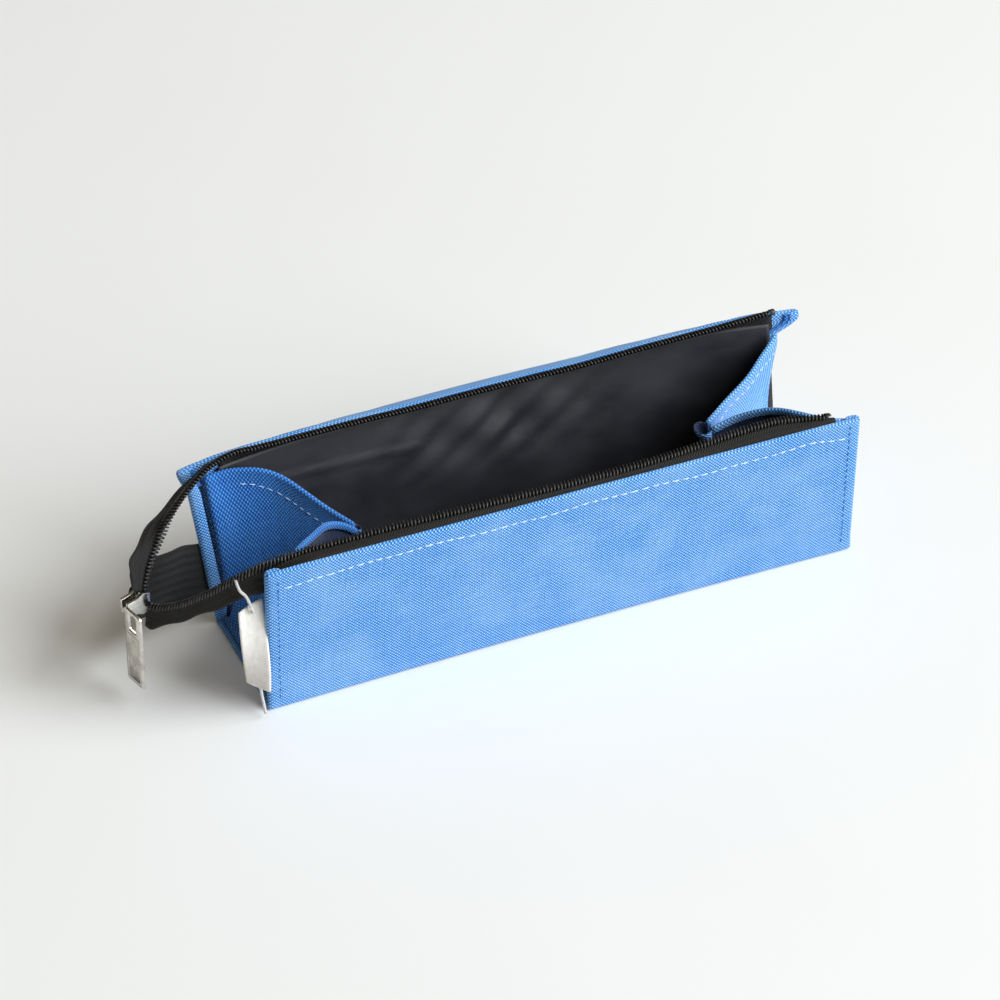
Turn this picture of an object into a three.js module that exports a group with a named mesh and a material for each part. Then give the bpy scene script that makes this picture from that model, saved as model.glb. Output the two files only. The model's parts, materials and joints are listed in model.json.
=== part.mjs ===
// A soft pencil case that stands open: a stiffened canvas box with two fold-in ends, a zip
// whose tapes run on past the left end to the slider, and a paper tag on a plastic loop.
//
// Millimetres, +Z up. The origin is the centre of the underside. +X runs along the length,
// towards the end away from the zip slider, and +Y points from the front wall to the back one.

import * as THREE from "three";

// Driving dimensions
const LENGTH = 204;
const BASE_DEPTH = 48.6;
const WALL_HEIGHT = 57;
const FRONT_LEAN = 2;
const BACK_LEAN = 9;
const BACK_FLARE = 6;
const COVER = 0.9;
const BOARD = 1;
const LINING = 0.5;
const LAYER_GAP = 0.3;
const WALL_COVER_FROM = 1.9;
const WALL_BOARD = { from: 2.6, to: 49, inset: 2 };
const WALL_LINING = { from: 3.2, to: 56 };
const SEAM_ALLOWANCE = 4;
const FOLD_RADIUS = 1.5;
const BEAD_IN = 1;
const BASE_BOARD_IN = 3;
const TAPE = 0.7;
const TAPE_FACE = 0.1;
const TAPE_SEWN_FROM = 50;
const TAPE_STANDS_UP = 1;
const TAPE_STANDS_IN = 5.2;
const TAPE_PAST_COIL = 3;
const COIL_RADIUS = 1;
const COIL_LIFT = 0.3;
const STOP = { gap: 0.4, length: 2.2 };
const ROUND_POINTS = 4;
const FRONT_ZIP_SPAN = [-98, 96];
const BACK_ZIP_SPAN = [-92, 99];
const TIP = { inset: 41.5, y: 1, z: 43.5 };
const GUSSET = 1.2;
const GUSSET_BOTTOM_X = 98;
const GUSSET_FLARE = 4;
const GUSSET_LOW = 4;
const GUSSET_BASE_Z = 4.4;
const FOLD_IN_TOP = 1;
const CREASE_GAP = 1.1;
const TIP_GAP = 1.6;
const TAIL_THICKNESS = 1.1;
const SLIDER = { at: [-135.3, 3.6, 34.3], turn: 15, length: 8.5, width: 8, thickness: 4.4 };
const PLATE = 1.1;
const WEDGE = { back: 1.5, nose: 1.2, tip: 0.4, wide: 1.6 };
const JOIN_GAP = 0.05;
const WIRE = { radius: 0.6, reach: 3.8, span: 6 };
const PULL = {
  width: 9, length: 29, thickness: 1.1, round: 1, slotWidth: 3.6, slotLength: 6.5, rim: 1.2,
  play: 0.3, out: 1, along: -0.9,
};
const TAG = { width: 8.5, length: 31, thickness: 0.6, top: 38 };
const TAG_PIVOT = [-108.6, -21.4, 50];
const TAG_SKEW = 1;
const TAG_LOOP_RADIUS = 0.4;
const TAG_LOOP = { above: 4, low: 6, endZ: 1.6, drift: [0.6, 1, 2], endIn: 0.6 };

// Places worked out from them
const HINGE_Y = BASE_DEPTH / 2 - FOLD_RADIUS;
const HINGE_Z = FOLD_RADIUS;
const HALF = LENGTH / 2;
const INNER_HALF = HALF - SEAM_ALLOWANCE;

const CANVAS = { color: 0x3f78c2, roughness: 0.85, metalness: 0 };
const STIFFENER = { color: 0xb9b4a6, roughness: 0.9, metalness: 0 };
const NYLON = { color: 0x15161b, roughness: 0.55, metalness: 0 };
const TAPE_BLACK = { color: 0x17171a, roughness: 0.8, metalness: 0 };
const COIL_BLACK = { color: 0x101012, roughness: 0.4, metalness: 0 };
const NICKEL = { color: 0xc9c6bf, roughness: 0.25, metalness: 1 };
const PAPER = { color: 0xf4f1ea, roughness: 0.9, metalness: 0 };
const CLEAR_PLASTIC = { color: 0xe9ecee, roughness: 0.35, metalness: 0 };

const radians = THREE.MathUtils.degToRad;

function node(name, geometry, finish) {
  const mesh = new THREE.Mesh(geometry, new THREE.MeshStandardMaterial(finish));
  mesh.name = name;
  return mesh;
}

function outline(points) {
  return new THREE.Shape(points.map(([a, b]) => new THREE.Vector2(a, b)));
}

// A flat outline in X and Z, made solid along Y from y0 to y1.
function uprightSlab(shape, y0, y1) {
  const slab = new THREE.ExtrudeGeometry(shape, { depth: y1 - y0, bevelEnabled: false });
  slab.rotateX(Math.PI / 2);
  slab.translate(0, y1, 0);
  return slab;
}

// A cross-section in Y and Z, run along X from x0 to x1.
function alongX(shape, x0, x1) {
  const run = new THREE.ExtrudeGeometry(shape, { depth: x1 - x0, bevelEnabled: false });
  const toRun = new THREE.Matrix4().makeBasis(
    new THREE.Vector3(0, 1, 0),
    new THREE.Vector3(0, 0, 1),
    new THREE.Vector3(1, 0, 0),
  );
  run.applyMatrix4(toRun);
  run.translate(x0, 0, 0);
  return run;
}

function box(x0, x1, y0, y1, z0, z1) {
  const block = new THREE.BoxGeometry(x1 - x0, y1 - y0, z1 - z0);
  block.translate((x0 + x1) / 2, (y0 + y1) / 2, (z0 + z1) / 2);
  return block;
}

// The base: canvas with a rolled fold along each long edge, a board and the lining.
function base() {
  const shape = new THREE.Shape();
  shape.moveTo(-HINGE_Y, 0);
  shape.lineTo(HINGE_Y, 0);
  shape.absarc(HINGE_Y, HINGE_Z, FOLD_RADIUS, -Math.PI / 2, Math.PI / 2, false);
  const flatHalf = HINGE_Y - BEAD_IN;
  shape.lineTo(flatHalf, 2 * FOLD_RADIUS);
  shape.lineTo(flatHalf, COVER);
  shape.lineTo(-flatHalf, COVER);
  shape.lineTo(-flatHalf, 2 * FOLD_RADIUS);
  shape.lineTo(-HINGE_Y, 2 * FOLD_RADIUS);
  shape.absarc(-HINGE_Y, HINGE_Z, FOLD_RADIUS, Math.PI / 2, Math.PI * 1.5, false);
  const inset = flatHalf - BEAD_IN;
  const boardLow = COVER + LAYER_GAP;
  const liningHigh = 2 * FOLD_RADIUS;
  const boardHalf = HALF - BASE_BOARD_IN;
  const board = box(-boardHalf, boardHalf, -inset, inset, boardLow, boardLow + BOARD);
  const lining = box(-INNER_HALF, INNER_HALF, -inset, inset, liningHigh - LINING, liningHigh);
  return [
    node("base_cover", alongX(shape, -HALF, HALF), CANVAS),
    node("base_board", board, STIFFENER),
    node("base_lining", lining, NYLON),
  ];
}

function roundSection(x, y, radius) {
  const ring = new THREE.Shape().absarc(x, y, radius, 0, Math.PI * 2, false);
  return new THREE.Shape(ring.getPoints(ROUND_POINTS).slice(0, -1));
}

// A zip tape's cross-section: sewn inside the wall, up over its edge, then in to the coil.
function tapeSection(out, edge) {
  const face = TAPE_FACE;
  const sewn = face - TAPE;
  const top = WALL_HEIGHT + TAPE_STANDS_UP;
  const rise = TAPE - TAPE_FACE;
  const section = [
    [face, TAPE_SEWN_FROM], [face, top], [edge, top + rise], [edge, top + rise - TAPE],
    [sewn, top - TAPE], [sewn, TAPE_SEWN_FROM],
  ];
  return outline(section.map(([w, z]) => [out * w, z]));
}

// One long wall. Its own frame has the fold line as its X axis and Z up the wall; `out` is
// the sign of Y that points away from the inside.
function wall(side, out, lean, flare, zipSpan) {
  const group = new THREE.Group();
  group.position.set(0, out * HINGE_Y, HINGE_Z);
  group.rotation.x = radians(-out * lean);
  const leaf = (w0, w1, half, top, z0, z1) => {
    const low = half + (top * z0) / WALL_HEIGHT;
    const high = half + (top * z1) / WALL_HEIGHT;
    const shape = outline([[-low, z0], [low, z0], [high, z1], [-high, z1]]);
    return uprightSlab(shape, Math.min(out * w0, out * w1), Math.max(out * w0, out * w1));
  };
  const boardIn = FOLD_RADIUS - COVER - LAYER_GAP - BOARD;
  const coverLeaf = leaf(FOLD_RADIUS - COVER, FOLD_RADIUS, HALF, flare, WALL_COVER_FROM, WALL_HEIGHT);
  const boardHalf = INNER_HALF - WALL_BOARD.inset;
  const boardLeaf = leaf(boardIn, boardIn + BOARD, boardHalf, flare / 2, WALL_BOARD.from, WALL_BOARD.to);
  const liningOut = LINING - FOLD_RADIUS;
  const liningLeaf = leaf(-FOLD_RADIUS, liningOut, INNER_HALF, flare / 2, WALL_LINING.from, WALL_LINING.to);
  group.add(
    node(`${side}_cover`, coverLeaf, CANVAS),
    node(`${side}_board`, boardLeaf, STIFFENER),
    node(`${side}_lining`, liningLeaf, NYLON),
  );
  const edge = -TAPE_STANDS_IN;
  const coilAt = [out * (edge - STOP.gap - COIL_RADIUS), WALL_HEIGHT + TAPE_STANDS_UP + COIL_LIFT];
  const coil = roundSection(...coilAt, COIL_RADIUS);
  const stopFrom = zipSpan[1] + STOP.gap;
  group.add(
    node(`${side}_zip_tape`, alongX(tapeSection(out, edge), zipSpan[0], zipSpan[1] + TAPE_PAST_COIL), TAPE_BLACK),
    node(`${side}_zip_coil`, alongX(coil, ...zipSpan), COIL_BLACK),
    node(`${side}_top_stop`, alongX(coil, stopFrom, stopFrom + STOP.length), NICKEL),
  );
  group.updateMatrixWorld(true);
  return group;
}

// A flat triangular panel. `insets` are how far its edges pq, qr and rp stand in from the
// triangle, so that neighbouring panels keep a crease gap.
function foldPanel(corners, insets, thickness) {
  const [p, q, r] = corners;
  const along = q.clone().sub(p).normalize();
  const normal = along.clone().cross(r.clone().sub(p)).normalize();
  const across = normal.clone().cross(along);
  const flat = corners.map((c) => {
    const d = c.clone().sub(p);
    return new THREE.Vector2(d.dot(along), d.dot(across));
  });
  const lines = flat.map((a, i) => {
    const b = flat[(i + 1) % 3];
    const run = b.clone().sub(a).normalize();
    const inward = new THREE.Vector2(-run.y, run.x);
    return { at: a.clone().addScaledVector(inward, insets[i]), run };
  });
  const meet = (m, n) => {
    const gap = n.at.clone().sub(m.at);
    const reach = gap.cross(n.run) / m.run.cross(n.run);
    return m.at.clone().addScaledVector(m.run, reach);
  };
  const shape = new THREE.Shape([meet(lines[2], lines[0]), meet(lines[0], lines[1]), meet(lines[1], lines[2])]);
  const panel = new THREE.ExtrudeGeometry(shape, { depth: thickness, bevelEnabled: false });
  panel.translate(0, 0, -thickness / 2);
  const place = new THREE.Matrix4().makeBasis(along, across, normal);
  place.setPosition(p);
  panel.applyMatrix4(place);
  return panel;
}

// One fold-in end: a panel on each wall's side seam and one on the end edge of the base.
function gusset(side, sign, walls) {
  const seam = (wallGroup, out, flare, z) => {
    const x = sign * (GUSSET_BOTTOM_X + flare);
    return wallGroup.localToWorld(new THREE.Vector3(x, -out * (FOLD_RADIUS + CREASE_GAP), z));
  };
  const seamHigh = WALL_HEIGHT - FOLD_IN_TOP;
  const frontLow = seam(walls.front, -1, 0, GUSSET_LOW);
  const frontHigh = seam(walls.front, -1, 0, seamHigh);
  const backLow = seam(walls.back, 1, 0, GUSSET_LOW);
  const backHigh = seam(walls.back, 1, GUSSET_FLARE, seamHigh);
  const tip = new THREE.Vector3(sign * (HALF - TIP.inset), TIP.y, TIP.z);
  const flatLow = new THREE.Vector3(sign * GUSSET_BOTTOM_X, frontLow.y, GUSSET_BASE_Z);
  const flatBack = new THREE.Vector3(sign * GUSSET_BOTTOM_X, backLow.y, GUSSET_BASE_Z);
  const upper = [CREASE_GAP, 0, TIP_GAP];
  const lower = [CREASE_GAP, CREASE_GAP, CREASE_GAP];
  return [
    node(`${side}_gusset_front`, foldPanel([frontLow, frontHigh, tip], upper, GUSSET), CANVAS),
    node(`${side}_gusset_back`, foldPanel([backLow, backHigh, tip], upper, GUSSET), CANVAS),
    node(`${side}_gusset_base`, foldPanel([flatLow, flatBack, tip], lower, GUSSET), CANVAS),
  ];
}

// A band lofted between two edge lines, as thick as given.
function ribbon(edgeA, edgeB, thickness, steps) {
  const a = new THREE.CatmullRomCurve3(edgeA.map((p) => new THREE.Vector3(...p))).getPoints(steps);
  const b = new THREE.CatmullRomCurve3(edgeB.map((p) => new THREE.Vector3(...p))).getPoints(steps);
  const corners = [];
  for (let i = 0; i <= steps; i += 1) {
    const before = Math.max(i - 1, 0);
    const after = Math.min(i + 1, steps);
    const run = a[after].clone().sub(a[before]).add(b[after].clone().sub(b[before]));
    const lift = run.cross(b[i].clone().sub(a[i])).setLength(thickness / 2);
    corners.push(a[i].clone().sub(lift), b[i].clone().sub(lift));
    corners.push(b[i].clone().add(lift), a[i].clone().add(lift));
  }
  const faces = [0, 2, 1, 0, 3, 2];
  for (let i = 0; i < steps; i += 1) {
    for (let k = 0; k < 4; k += 1) {
      const near = i * 4 + k;
      const nearNext = i * 4 + ((k + 1) % 4);
      faces.push(near, nearNext + 4, near + 4, near, nearNext, nearNext + 4);
    }
  }
  const last = steps * 4;
  faces.push(last, last + 1, last + 2, last, last + 2, last + 3);
  const band = new THREE.BufferGeometry();
  band.setAttribute("position", new THREE.Float32BufferAttribute(corners.flatMap((c) => c.toArray()), 3));
  band.setIndex(faces);
  return band;
}

// Each tape's run beyond the left end, as its coil edge and its free edge, and the closed
// tail that goes from behind the slider back to the rear side seam.
const FRONT_RUN = {
  coil: [[-100.2, -19.6, 56.2], [-108.5, -18, 52.6], [-116.3, -13.7, 46], [-123.5, -6.8, 38.6], [-129, -0.7, 33.2]],
  free: [[-102, -22.4, 47.5], [-110, -19, 43.5], [-117.5, -13.2, 37], [-124.5, -5.5, 29.8], [-130.6, 1.1, 24]],
};
const BACK_RUN = {
  coil: [[-95.5, 26.4, 59.8], [-103.8, 25.4, 58.4], [-111, 22, 55.2], [-117.5, 17.6, 52], [-123.5, 13.2, 48],
    [-128.2, 9.5, 43.3], [-130.6, 7, 39.6]],
  free: [[-97, 31.2, 60], [-106, 30.4, 55.5], [-115.5, 26.5, 51], [-124.5, 20.5, 49], [-132, 10.5, 50],
    [-136, 5, 49.5], [-135.8, 2, 45.5]],
};
const TAIL = {
  top: [[-106.5, 27, 31], [-114, 21.8, 36], [-124, 15, 41], [-132, 12, 41.5]],
  bottom: [[-104.5, 25.5, 9.5], [-113.5, 20.8, 14.5], [-124, 14.4, 19], [-132, 11.6, 20]],
};

function zipRun() {
  const steps = 18;
  return [
    node("front_tape_run", ribbon(FRONT_RUN.coil, FRONT_RUN.free, TAPE, steps), TAPE_BLACK),
    node("back_tape_run", ribbon(BACK_RUN.coil, BACK_RUN.free, TAPE, steps), TAPE_BLACK),
    node("zip_tail", ribbon(TAIL.top, TAIL.bottom, TAIL_THICKNESS, steps), TAPE_BLACK),
  ];
}

// The slider: two wing plates on a wedge, and a wire bridge that the pull hangs from. Its
// own frame has X along the zip, towards the mouth, and -Y out of the top plate.
function slider() {
  const group = new THREE.Group();
  group.position.set(...SLIDER.at);
  group.rotation.z = radians(SLIDER.turn);
  const rear = -SLIDER.length / 2;
  const front = SLIDER.length / 2;
  const wide = SLIDER.width / 2;
  const thick = SLIDER.thickness / 2;
  const half = [[rear, 0.62], [-1, 0.7], [1.5, 1], [front, 0.8]].map(([x, share]) => [x, wide * share]);
  const section = outline([...half.map(([x, z]) => [x, -z]), ...half.reverse()]);
  const nose = front - WEDGE.nose;
  const wedge = outline([[rear + WEDGE.back, 0], [nose, -WEDGE.wide], [front - WEDGE.tip, 0], [nose, WEDGE.wide]]);
  const inner = thick - PLATE - JOIN_GAP;
  group.add(
    node("slider_top_plate", uprightSlab(section, -thick, PLATE - thick), NICKEL),
    node("slider_wedge", uprightSlab(wedge, -inner, inner), NICKEL),
    node("slider_back_plate", uprightSlab(section, thick - PLATE, thick), NICKEL),
    node("slider_bridge", bridge(-thick - JOIN_GAP), NICKEL),
  );
  const pull = pullTab();
  pull.translate(PULL.along, -thick - WIRE.reach, 0);
  group.add(node("pull_tab", pull, NICKEL));
  return group;
}

// A wire bowed out from the top plate at y.
function bridge(y) {
  const half = WIRE.span / 2;
  const path = new THREE.CatmullRomCurve3([
    new THREE.Vector3(-half, y, 0),
    new THREE.Vector3(-half, y - WIRE.reach * 0.6, 0),
    new THREE.Vector3(-half * 0.6, y - WIRE.reach, 0),
    new THREE.Vector3(half * 0.6, y - WIRE.reach, 0),
    new THREE.Vector3(half, y - WIRE.reach * 0.6, 0),
    new THREE.Vector3(half, y, 0),
  ]);
  const section = roundSection(0, 0, WIRE.radius);
  return new THREE.ExtrudeGeometry(section, { steps: 16, bevelEnabled: false, extrudePath: path });
}

// The pull: a rounded plate with a slot near its top, hung on the wire at the origin of the
// plate's own outline, which lies across the zip.
function pullTab() {
  const half = PULL.width / 2;
  const high = PULL.rim + WIRE.radius + PULL.play;
  const low = high - PULL.length;
  const r = PULL.round;
  const shape = new THREE.Shape();
  shape.moveTo(-half + r, low);
  shape.lineTo(half - r, low);
  shape.absarc(half - r, low + r, r, -Math.PI / 2, 0, false);
  shape.lineTo(half, high - r);
  shape.absarc(half - r, high - r, r, 0, Math.PI / 2, false);
  shape.lineTo(-half + r, high);
  shape.absarc(-half + r, high - r, r, Math.PI / 2, Math.PI, false);
  shape.lineTo(-half, low + r);
  shape.absarc(-half + r, low + r, r, Math.PI, Math.PI * 1.5, false);
  const slotHalf = PULL.slotWidth / 2;
  const slotHigh = high - PULL.rim;
  const slotLow = slotHigh - PULL.slotLength;
  const slot = new THREE.Path();
  slot.moveTo(-slotHalf, slotLow);
  slot.lineTo(-slotHalf, slotHigh);
  slot.lineTo(slotHalf, slotHigh);
  slot.lineTo(slotHalf, slotLow);
  slot.closePath();
  shape.holes.push(slot);
  const plate = new THREE.ExtrudeGeometry(shape, { depth: PULL.thickness, bevelEnabled: false, curveSegments: 4 });
  const across = new THREE.Matrix4().makeBasis(
    new THREE.Vector3(0, 1, 0),
    new THREE.Vector3(0, 0, 1),
    new THREE.Vector3(1, 0, 0),
  );
  plate.applyMatrix4(across);
  plate.translate(-PULL.thickness / 2, -PULL.out, 0);
  return plate;
}

// The paper tag and the plastic loop that it hangs on, which comes out again below it.
function tag() {
  const group = new THREE.Group();
  const [x, y, z] = TAG_PIVOT;
  const half = TAG.width / 2;
  const low = TAG.top - TAG.length;
  const card = outline([[x - half, low + TAG_SKEW], [x + half, low], [x + half, TAG.top], [x - half, TAG.top]]);
  const cardLow = y - TAG.thickness / 2;
  const strand = TAG_LOOP_RADIUS + TAG.thickness / 2 + LAYER_GAP;
  const [d1, d2, d3] = TAG_LOOP.drift;
  const path = new THREE.CatmullRomCurve3([
    new THREE.Vector3(x, y, z),
    new THREE.Vector3(x + d1, y + strand, TAG.top + TAG_LOOP.above),
    new THREE.Vector3(x + d2, y + strand, low + TAG_LOOP.low),
    new THREE.Vector3(x + d3, y + TAG_LOOP.endIn, TAG_LOOP.endZ),
  ]);
  const section = roundSection(0, 0, TAG_LOOP_RADIUS);
  const loop = new THREE.ExtrudeGeometry(section, { steps: 20, bevelEnabled: false, extrudePath: path });
  group.add(
    node("swing_tag", uprightSlab(card, cardLow, cardLow + TAG.thickness), PAPER),
    node("tag_loop", loop, CLEAR_PLASTIC),
  );
  return group;
}

const pencilCase = new THREE.Group();
const walls = {
  front: wall("front", -1, FRONT_LEAN, 0, FRONT_ZIP_SPAN),
  back: wall("back", 1, BACK_LEAN, BACK_FLARE, BACK_ZIP_SPAN),
};
pencilCase.add(...base(), walls.front, walls.back);
pencilCase.add(...gusset("left", -1, walls), ...gusset("right", 1, walls));
pencilCase.add(...zipRun(), slider(), tag());

export default pencilCase;
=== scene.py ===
"""A soft canvas pencil case that stands open, with its zip run out past the left end.

Metres, +Z up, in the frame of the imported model: +X runs along the case, away from the zip
slider, and +Y points from the front wall to the back one.
"""

import json
import math

import bpy
import numpy as np
from mathutils.bvhtree import BVHTree
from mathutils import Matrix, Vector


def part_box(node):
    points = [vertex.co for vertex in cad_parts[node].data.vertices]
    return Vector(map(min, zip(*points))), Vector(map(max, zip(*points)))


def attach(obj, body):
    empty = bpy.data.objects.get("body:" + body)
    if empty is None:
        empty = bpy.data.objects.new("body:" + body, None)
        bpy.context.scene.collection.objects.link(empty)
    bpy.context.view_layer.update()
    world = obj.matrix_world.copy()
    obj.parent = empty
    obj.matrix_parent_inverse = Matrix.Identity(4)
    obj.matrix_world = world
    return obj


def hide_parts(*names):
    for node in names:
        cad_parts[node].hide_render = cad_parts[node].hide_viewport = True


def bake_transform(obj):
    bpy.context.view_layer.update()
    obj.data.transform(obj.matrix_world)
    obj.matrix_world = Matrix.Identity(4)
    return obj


bl_info = {
    "name": "Canvas pencil case",
    "version": (1, 0, 0),
    "blender": (4, 5, 0),
    "location": "View3D > Sidebar > Pencil case",
    "description": "Sews the cloth, zip, slider and tag of an open pencil case round its frame",
    "category": "Object",
}

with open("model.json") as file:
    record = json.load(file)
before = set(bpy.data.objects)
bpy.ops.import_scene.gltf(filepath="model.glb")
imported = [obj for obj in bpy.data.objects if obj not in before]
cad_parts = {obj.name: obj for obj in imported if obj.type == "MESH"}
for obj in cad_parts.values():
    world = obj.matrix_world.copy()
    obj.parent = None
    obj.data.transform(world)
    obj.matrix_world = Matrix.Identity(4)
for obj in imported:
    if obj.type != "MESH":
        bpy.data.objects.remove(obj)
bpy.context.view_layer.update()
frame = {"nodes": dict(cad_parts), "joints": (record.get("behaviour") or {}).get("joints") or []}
JOINTS = {joint["name"]: joint for joint in frame["joints"]}

MM = 0.001
UP = np.array((0.0, 0.0, 1.0))
BASE_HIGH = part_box("base_cover")[1]
# Half the case's length, over its side edges and between its side seams.
HALF = BASE_HIGH[0]
SEAM_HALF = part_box("base_lining")[1][0]
CLOTH_LAYER = "cloth"
FRONT, BACK = "front", "back"
SIDES = (FRONT, BACK)
ENDS = {"left": -1, "right": 1}


# Curves and grids


def case_sizes():
    return bpy.context.scene.case_sizes


def case_colours():
    return bpy.context.scene.case_colours


def mm(values):
    return np.array(values, float) * MM


def ease(t):
    """0 to 1, starting and stopping gently."""
    t = np.clip(t, 0, 1)
    return t * t * (3 - 2 * t)


def read_table(table, at):
    """A value off a table of (place, value) pairs in millimetres, its corners eased."""
    places, values = np.array(table, float).T
    at = np.asarray(at) / MM
    corner = 3.0
    near = [np.interp(at + shift * corner, places, values) for shift in (-2, -1, 0, 1, 2)]
    return np.average(near, axis=0, weights=(1, 3, 4, 3, 1))


def run_along(line):
    """How far along a line each of its points is."""
    return np.concatenate([[0], np.cumsum(np.linalg.norm(np.diff(line, axis=0), axis=1))])


def read_line(at, run, line):
    """The places at distances at along a line."""
    return np.stack([np.interp(at, run, line[:, k]) for k in range(3)], axis=1)


def evenly(line, count):
    run = run_along(line)
    return read_line(np.linspace(0, run[-1], count), run, line)


def smooth_through(points, count):
    """A smooth curve through the points, cut into evenly spaced ones."""
    p = np.array(points, float)
    ends = np.vstack([2 * p[0] - p[1], p, 2 * p[-1] - p[-2]])
    t = np.linspace(0, 1, 20, endpoint=False)[:, None]
    parts = []
    for a, b, c, d in zip(ends[:-3], ends[1:-2], ends[2:-1], ends[3:]):
        curve = 2 * b + (c - a) * t + (2 * a - 5 * b + 4 * c - d) * t**2
        parts.append(0.5 * (curve + (3 * b - a - 3 * c + d) * t**3))
    return evenly(np.vstack(parts + [p[-1:]]), count)


def unit(vectors):
    lengths = np.linalg.norm(vectors, axis=-1, keepdims=True)
    return vectors / np.maximum(lengths, 1e-12)


class Patchwork:
    """Collects vertices and faces, and makes one object of them."""

    def __init__(self):
        self.verts = []
        self.faces = []
        self.maps = []
        self.finish = []
        self.count = 0

    def add(self, verts, faces, cloth=None, finish=0):
        verts = np.asarray(verts, float).reshape(-1, 3)
        faces = [tuple(int(i) + self.count for i in face) for face in faces]
        if cloth is None:
            cloth = np.zeros((len(verts), 2))
        self.verts.append(verts)
        self.maps.append(np.asarray(cloth, float).reshape(-1, 2))
        self.faces.extend(faces)
        self.finish.extend([finish] * len(faces) if isinstance(finish, int) else finish)
        self.count += len(verts)

    def make(self, name, materials, smooth=True):
        mesh = bpy.data.meshes.new(name)
        mesh.from_pydata(np.vstack(self.verts).tolist(), [], self.faces)
        corners = np.zeros(len(mesh.loops), int)
        mesh.loops.foreach_get("vertex_index", corners)
        layer = mesh.uv_layers.new(name=CLOTH_LAYER)
        layer.data.foreach_set("uv", np.vstack(self.maps)[corners].astype(np.float32).ravel())
        for material in materials:
            mesh.materials.append(material)
        mesh.polygons.foreach_set("material_index", self.finish)
        mesh.polygons.foreach_set("use_smooth", [smooth] * len(mesh.polygons))
        mesh.update()
        piece = bpy.data.objects.new(name, mesh)
        bpy.context.scene.collection.objects.link(piece)
        return piece


def cloth_map(points):
    """Distances along and across a grid of points, measured on the cloth itself."""
    along = np.linalg.norm(np.diff(points, axis=0), axis=2).mean(axis=1)
    across = np.linalg.norm(np.diff(points, axis=1), axis=2).mean(axis=0)
    a, b = np.meshgrid(
        np.concatenate([[0], np.cumsum(along)]),
        np.concatenate([[0], np.cumsum(across)]),
        indexing="ij",
    )
    return np.stack([a, b], axis=2)


def add_sheet(work, points, thickness, cloth=None, faces_finish=(0, 0), edge_share=0.5):
    """Adds a sheet with both faces and a thinned rim. Its first finish goes on the outer face."""
    rows, cols = points.shape[:2]
    if cloth is None:
        cloth = cloth_map(points)
    normal = unit(np.cross(np.gradient(points, axis=0), np.gradient(points, axis=1)))
    half = np.full((rows, cols, 1), thickness / 2)
    half[[0, -1], :] *= edge_share
    half[:, [0, -1]] *= edge_share
    verts = np.concatenate([points + normal * half, points - normal * half])
    index = np.arange(rows * cols).reshape(rows, cols)
    outer = np.stack([index[:-1, :-1], index[1:, :-1], index[1:, 1:], index[:-1, 1:]], axis=-1)
    outer = outer.reshape(-1, 4)
    under = outer[:, ::-1] + rows * cols
    ring = np.concatenate([index[:, 0], index[-1, 1:], index[-2::-1, -1], index[0, -2:0:-1]])
    after = np.roll(ring, -1)
    rim = np.stack([after, ring, ring + rows * cols, after + rows * cols], axis=-1)
    finish = [faces_finish[0]] * len(outer) + [faces_finish[1]] * len(under)
    finish += [faces_finish[0]] * len(rim)
    faces = np.concatenate([outer, under, rim])
    work.add(verts, faces, np.concatenate([cloth, cloth]), finish)


def add_tube(work, path, radius, sides=8, finish=0, normal_hint=UP):
    """Adds a round rod along a path, closed at both ends."""
    path = np.asarray(path, float)
    radius = np.broadcast_to(np.asarray(radius, float), len(path))
    heading = unit(np.gradient(path, axis=0))
    hint = np.broadcast_to(np.asarray(normal_hint, float), heading.shape)
    lift = unit(hint - heading * np.sum(hint * heading, axis=1, keepdims=True))
    side = np.cross(heading, lift)
    turn = np.arange(sides) / sides * 2 * np.pi
    ring = lift[:, None] * np.sin(turn)[None, :, None] + side[:, None] * np.cos(turn)[None, :, None]
    verts = path[:, None] + ring * radius[:, None, None]
    rows = len(path)
    index = np.arange(rows * sides).reshape(rows, sides)
    beside = np.roll(index, -1, axis=1)
    faces = np.stack([index[:-1], index[1:], beside[1:], beside[:-1]], axis=-1).reshape(-1, 4)
    run = run_along(path)
    cloth = np.stack(np.meshgrid(run, turn * radius.max(), indexing="ij"), axis=-1)
    ends = [tuple(index[0]), tuple(index[-1][::-1])]
    work.add(verts, [tuple(face) for face in faces] + ends, cloth, finish)


# The walls' shape. A place on a wall is x along it, u up its cloth from the base fold, and w
# out of it. Past bend_start the cloth turns in over the mouth.

# Tables run over x: turn_in in degrees, the rest in millimetres.
WALL_SHAPES = {
    FRONT: {
        "turn_in": ((-110, 108), (-84, 98), (-60, 88), (40, 84), (72, 70), (84, 92), (96, 112)),
        "bend_start": ((-110, 54.6), (0, 54.6), (60, 54.2), (97, 54), (110, 53.6)),
        "cut_height": ((-110, 54.4), (-98, 55), (0, 54.6), (60, 54.2), (97, 54), (110, 53.2)),
        "tape_reach": ((-100, 4.6), (-60, 3.8), (0, 2.2), (30, 2.4), (60, 4.6), (76, 5.0), (86, 3.6),
                       (95, 1.2)),
        "bend_length": 2.0,
        "low_bow": -1.1,
        "top_bow": 0.0,
        "lift": 0.1,
    },
    BACK: {
        "turn_in": ((-110, 50), (-80, 80), (0, 86), (80, 80), (110, 50)),
        "bend_start": ((-110, 57), (-90, 56.2), (-30, 54.6), (30, 54.4), (90, 56.2), (110, 57)),
        "cut_height": ((-110, 54.6), (-102, 57.2), (-95, 58.2), (-30, 60.6), (30, 61.0), (70, 60), (95, 58),
                       (110, 56.6)),
        "tape_reach": ((-95, 1.8), (0, 0.4), (70, 0.6), (90, 1.2), (102, 1.6)),
        "bend_length": 3.2,
        "low_bow": -0.4,
        "top_bow": 7.6,
        "lift": 0.0,
    },
}
WALL_HEIGHT = 57 * MM
BEND_STEPS = 16
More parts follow.
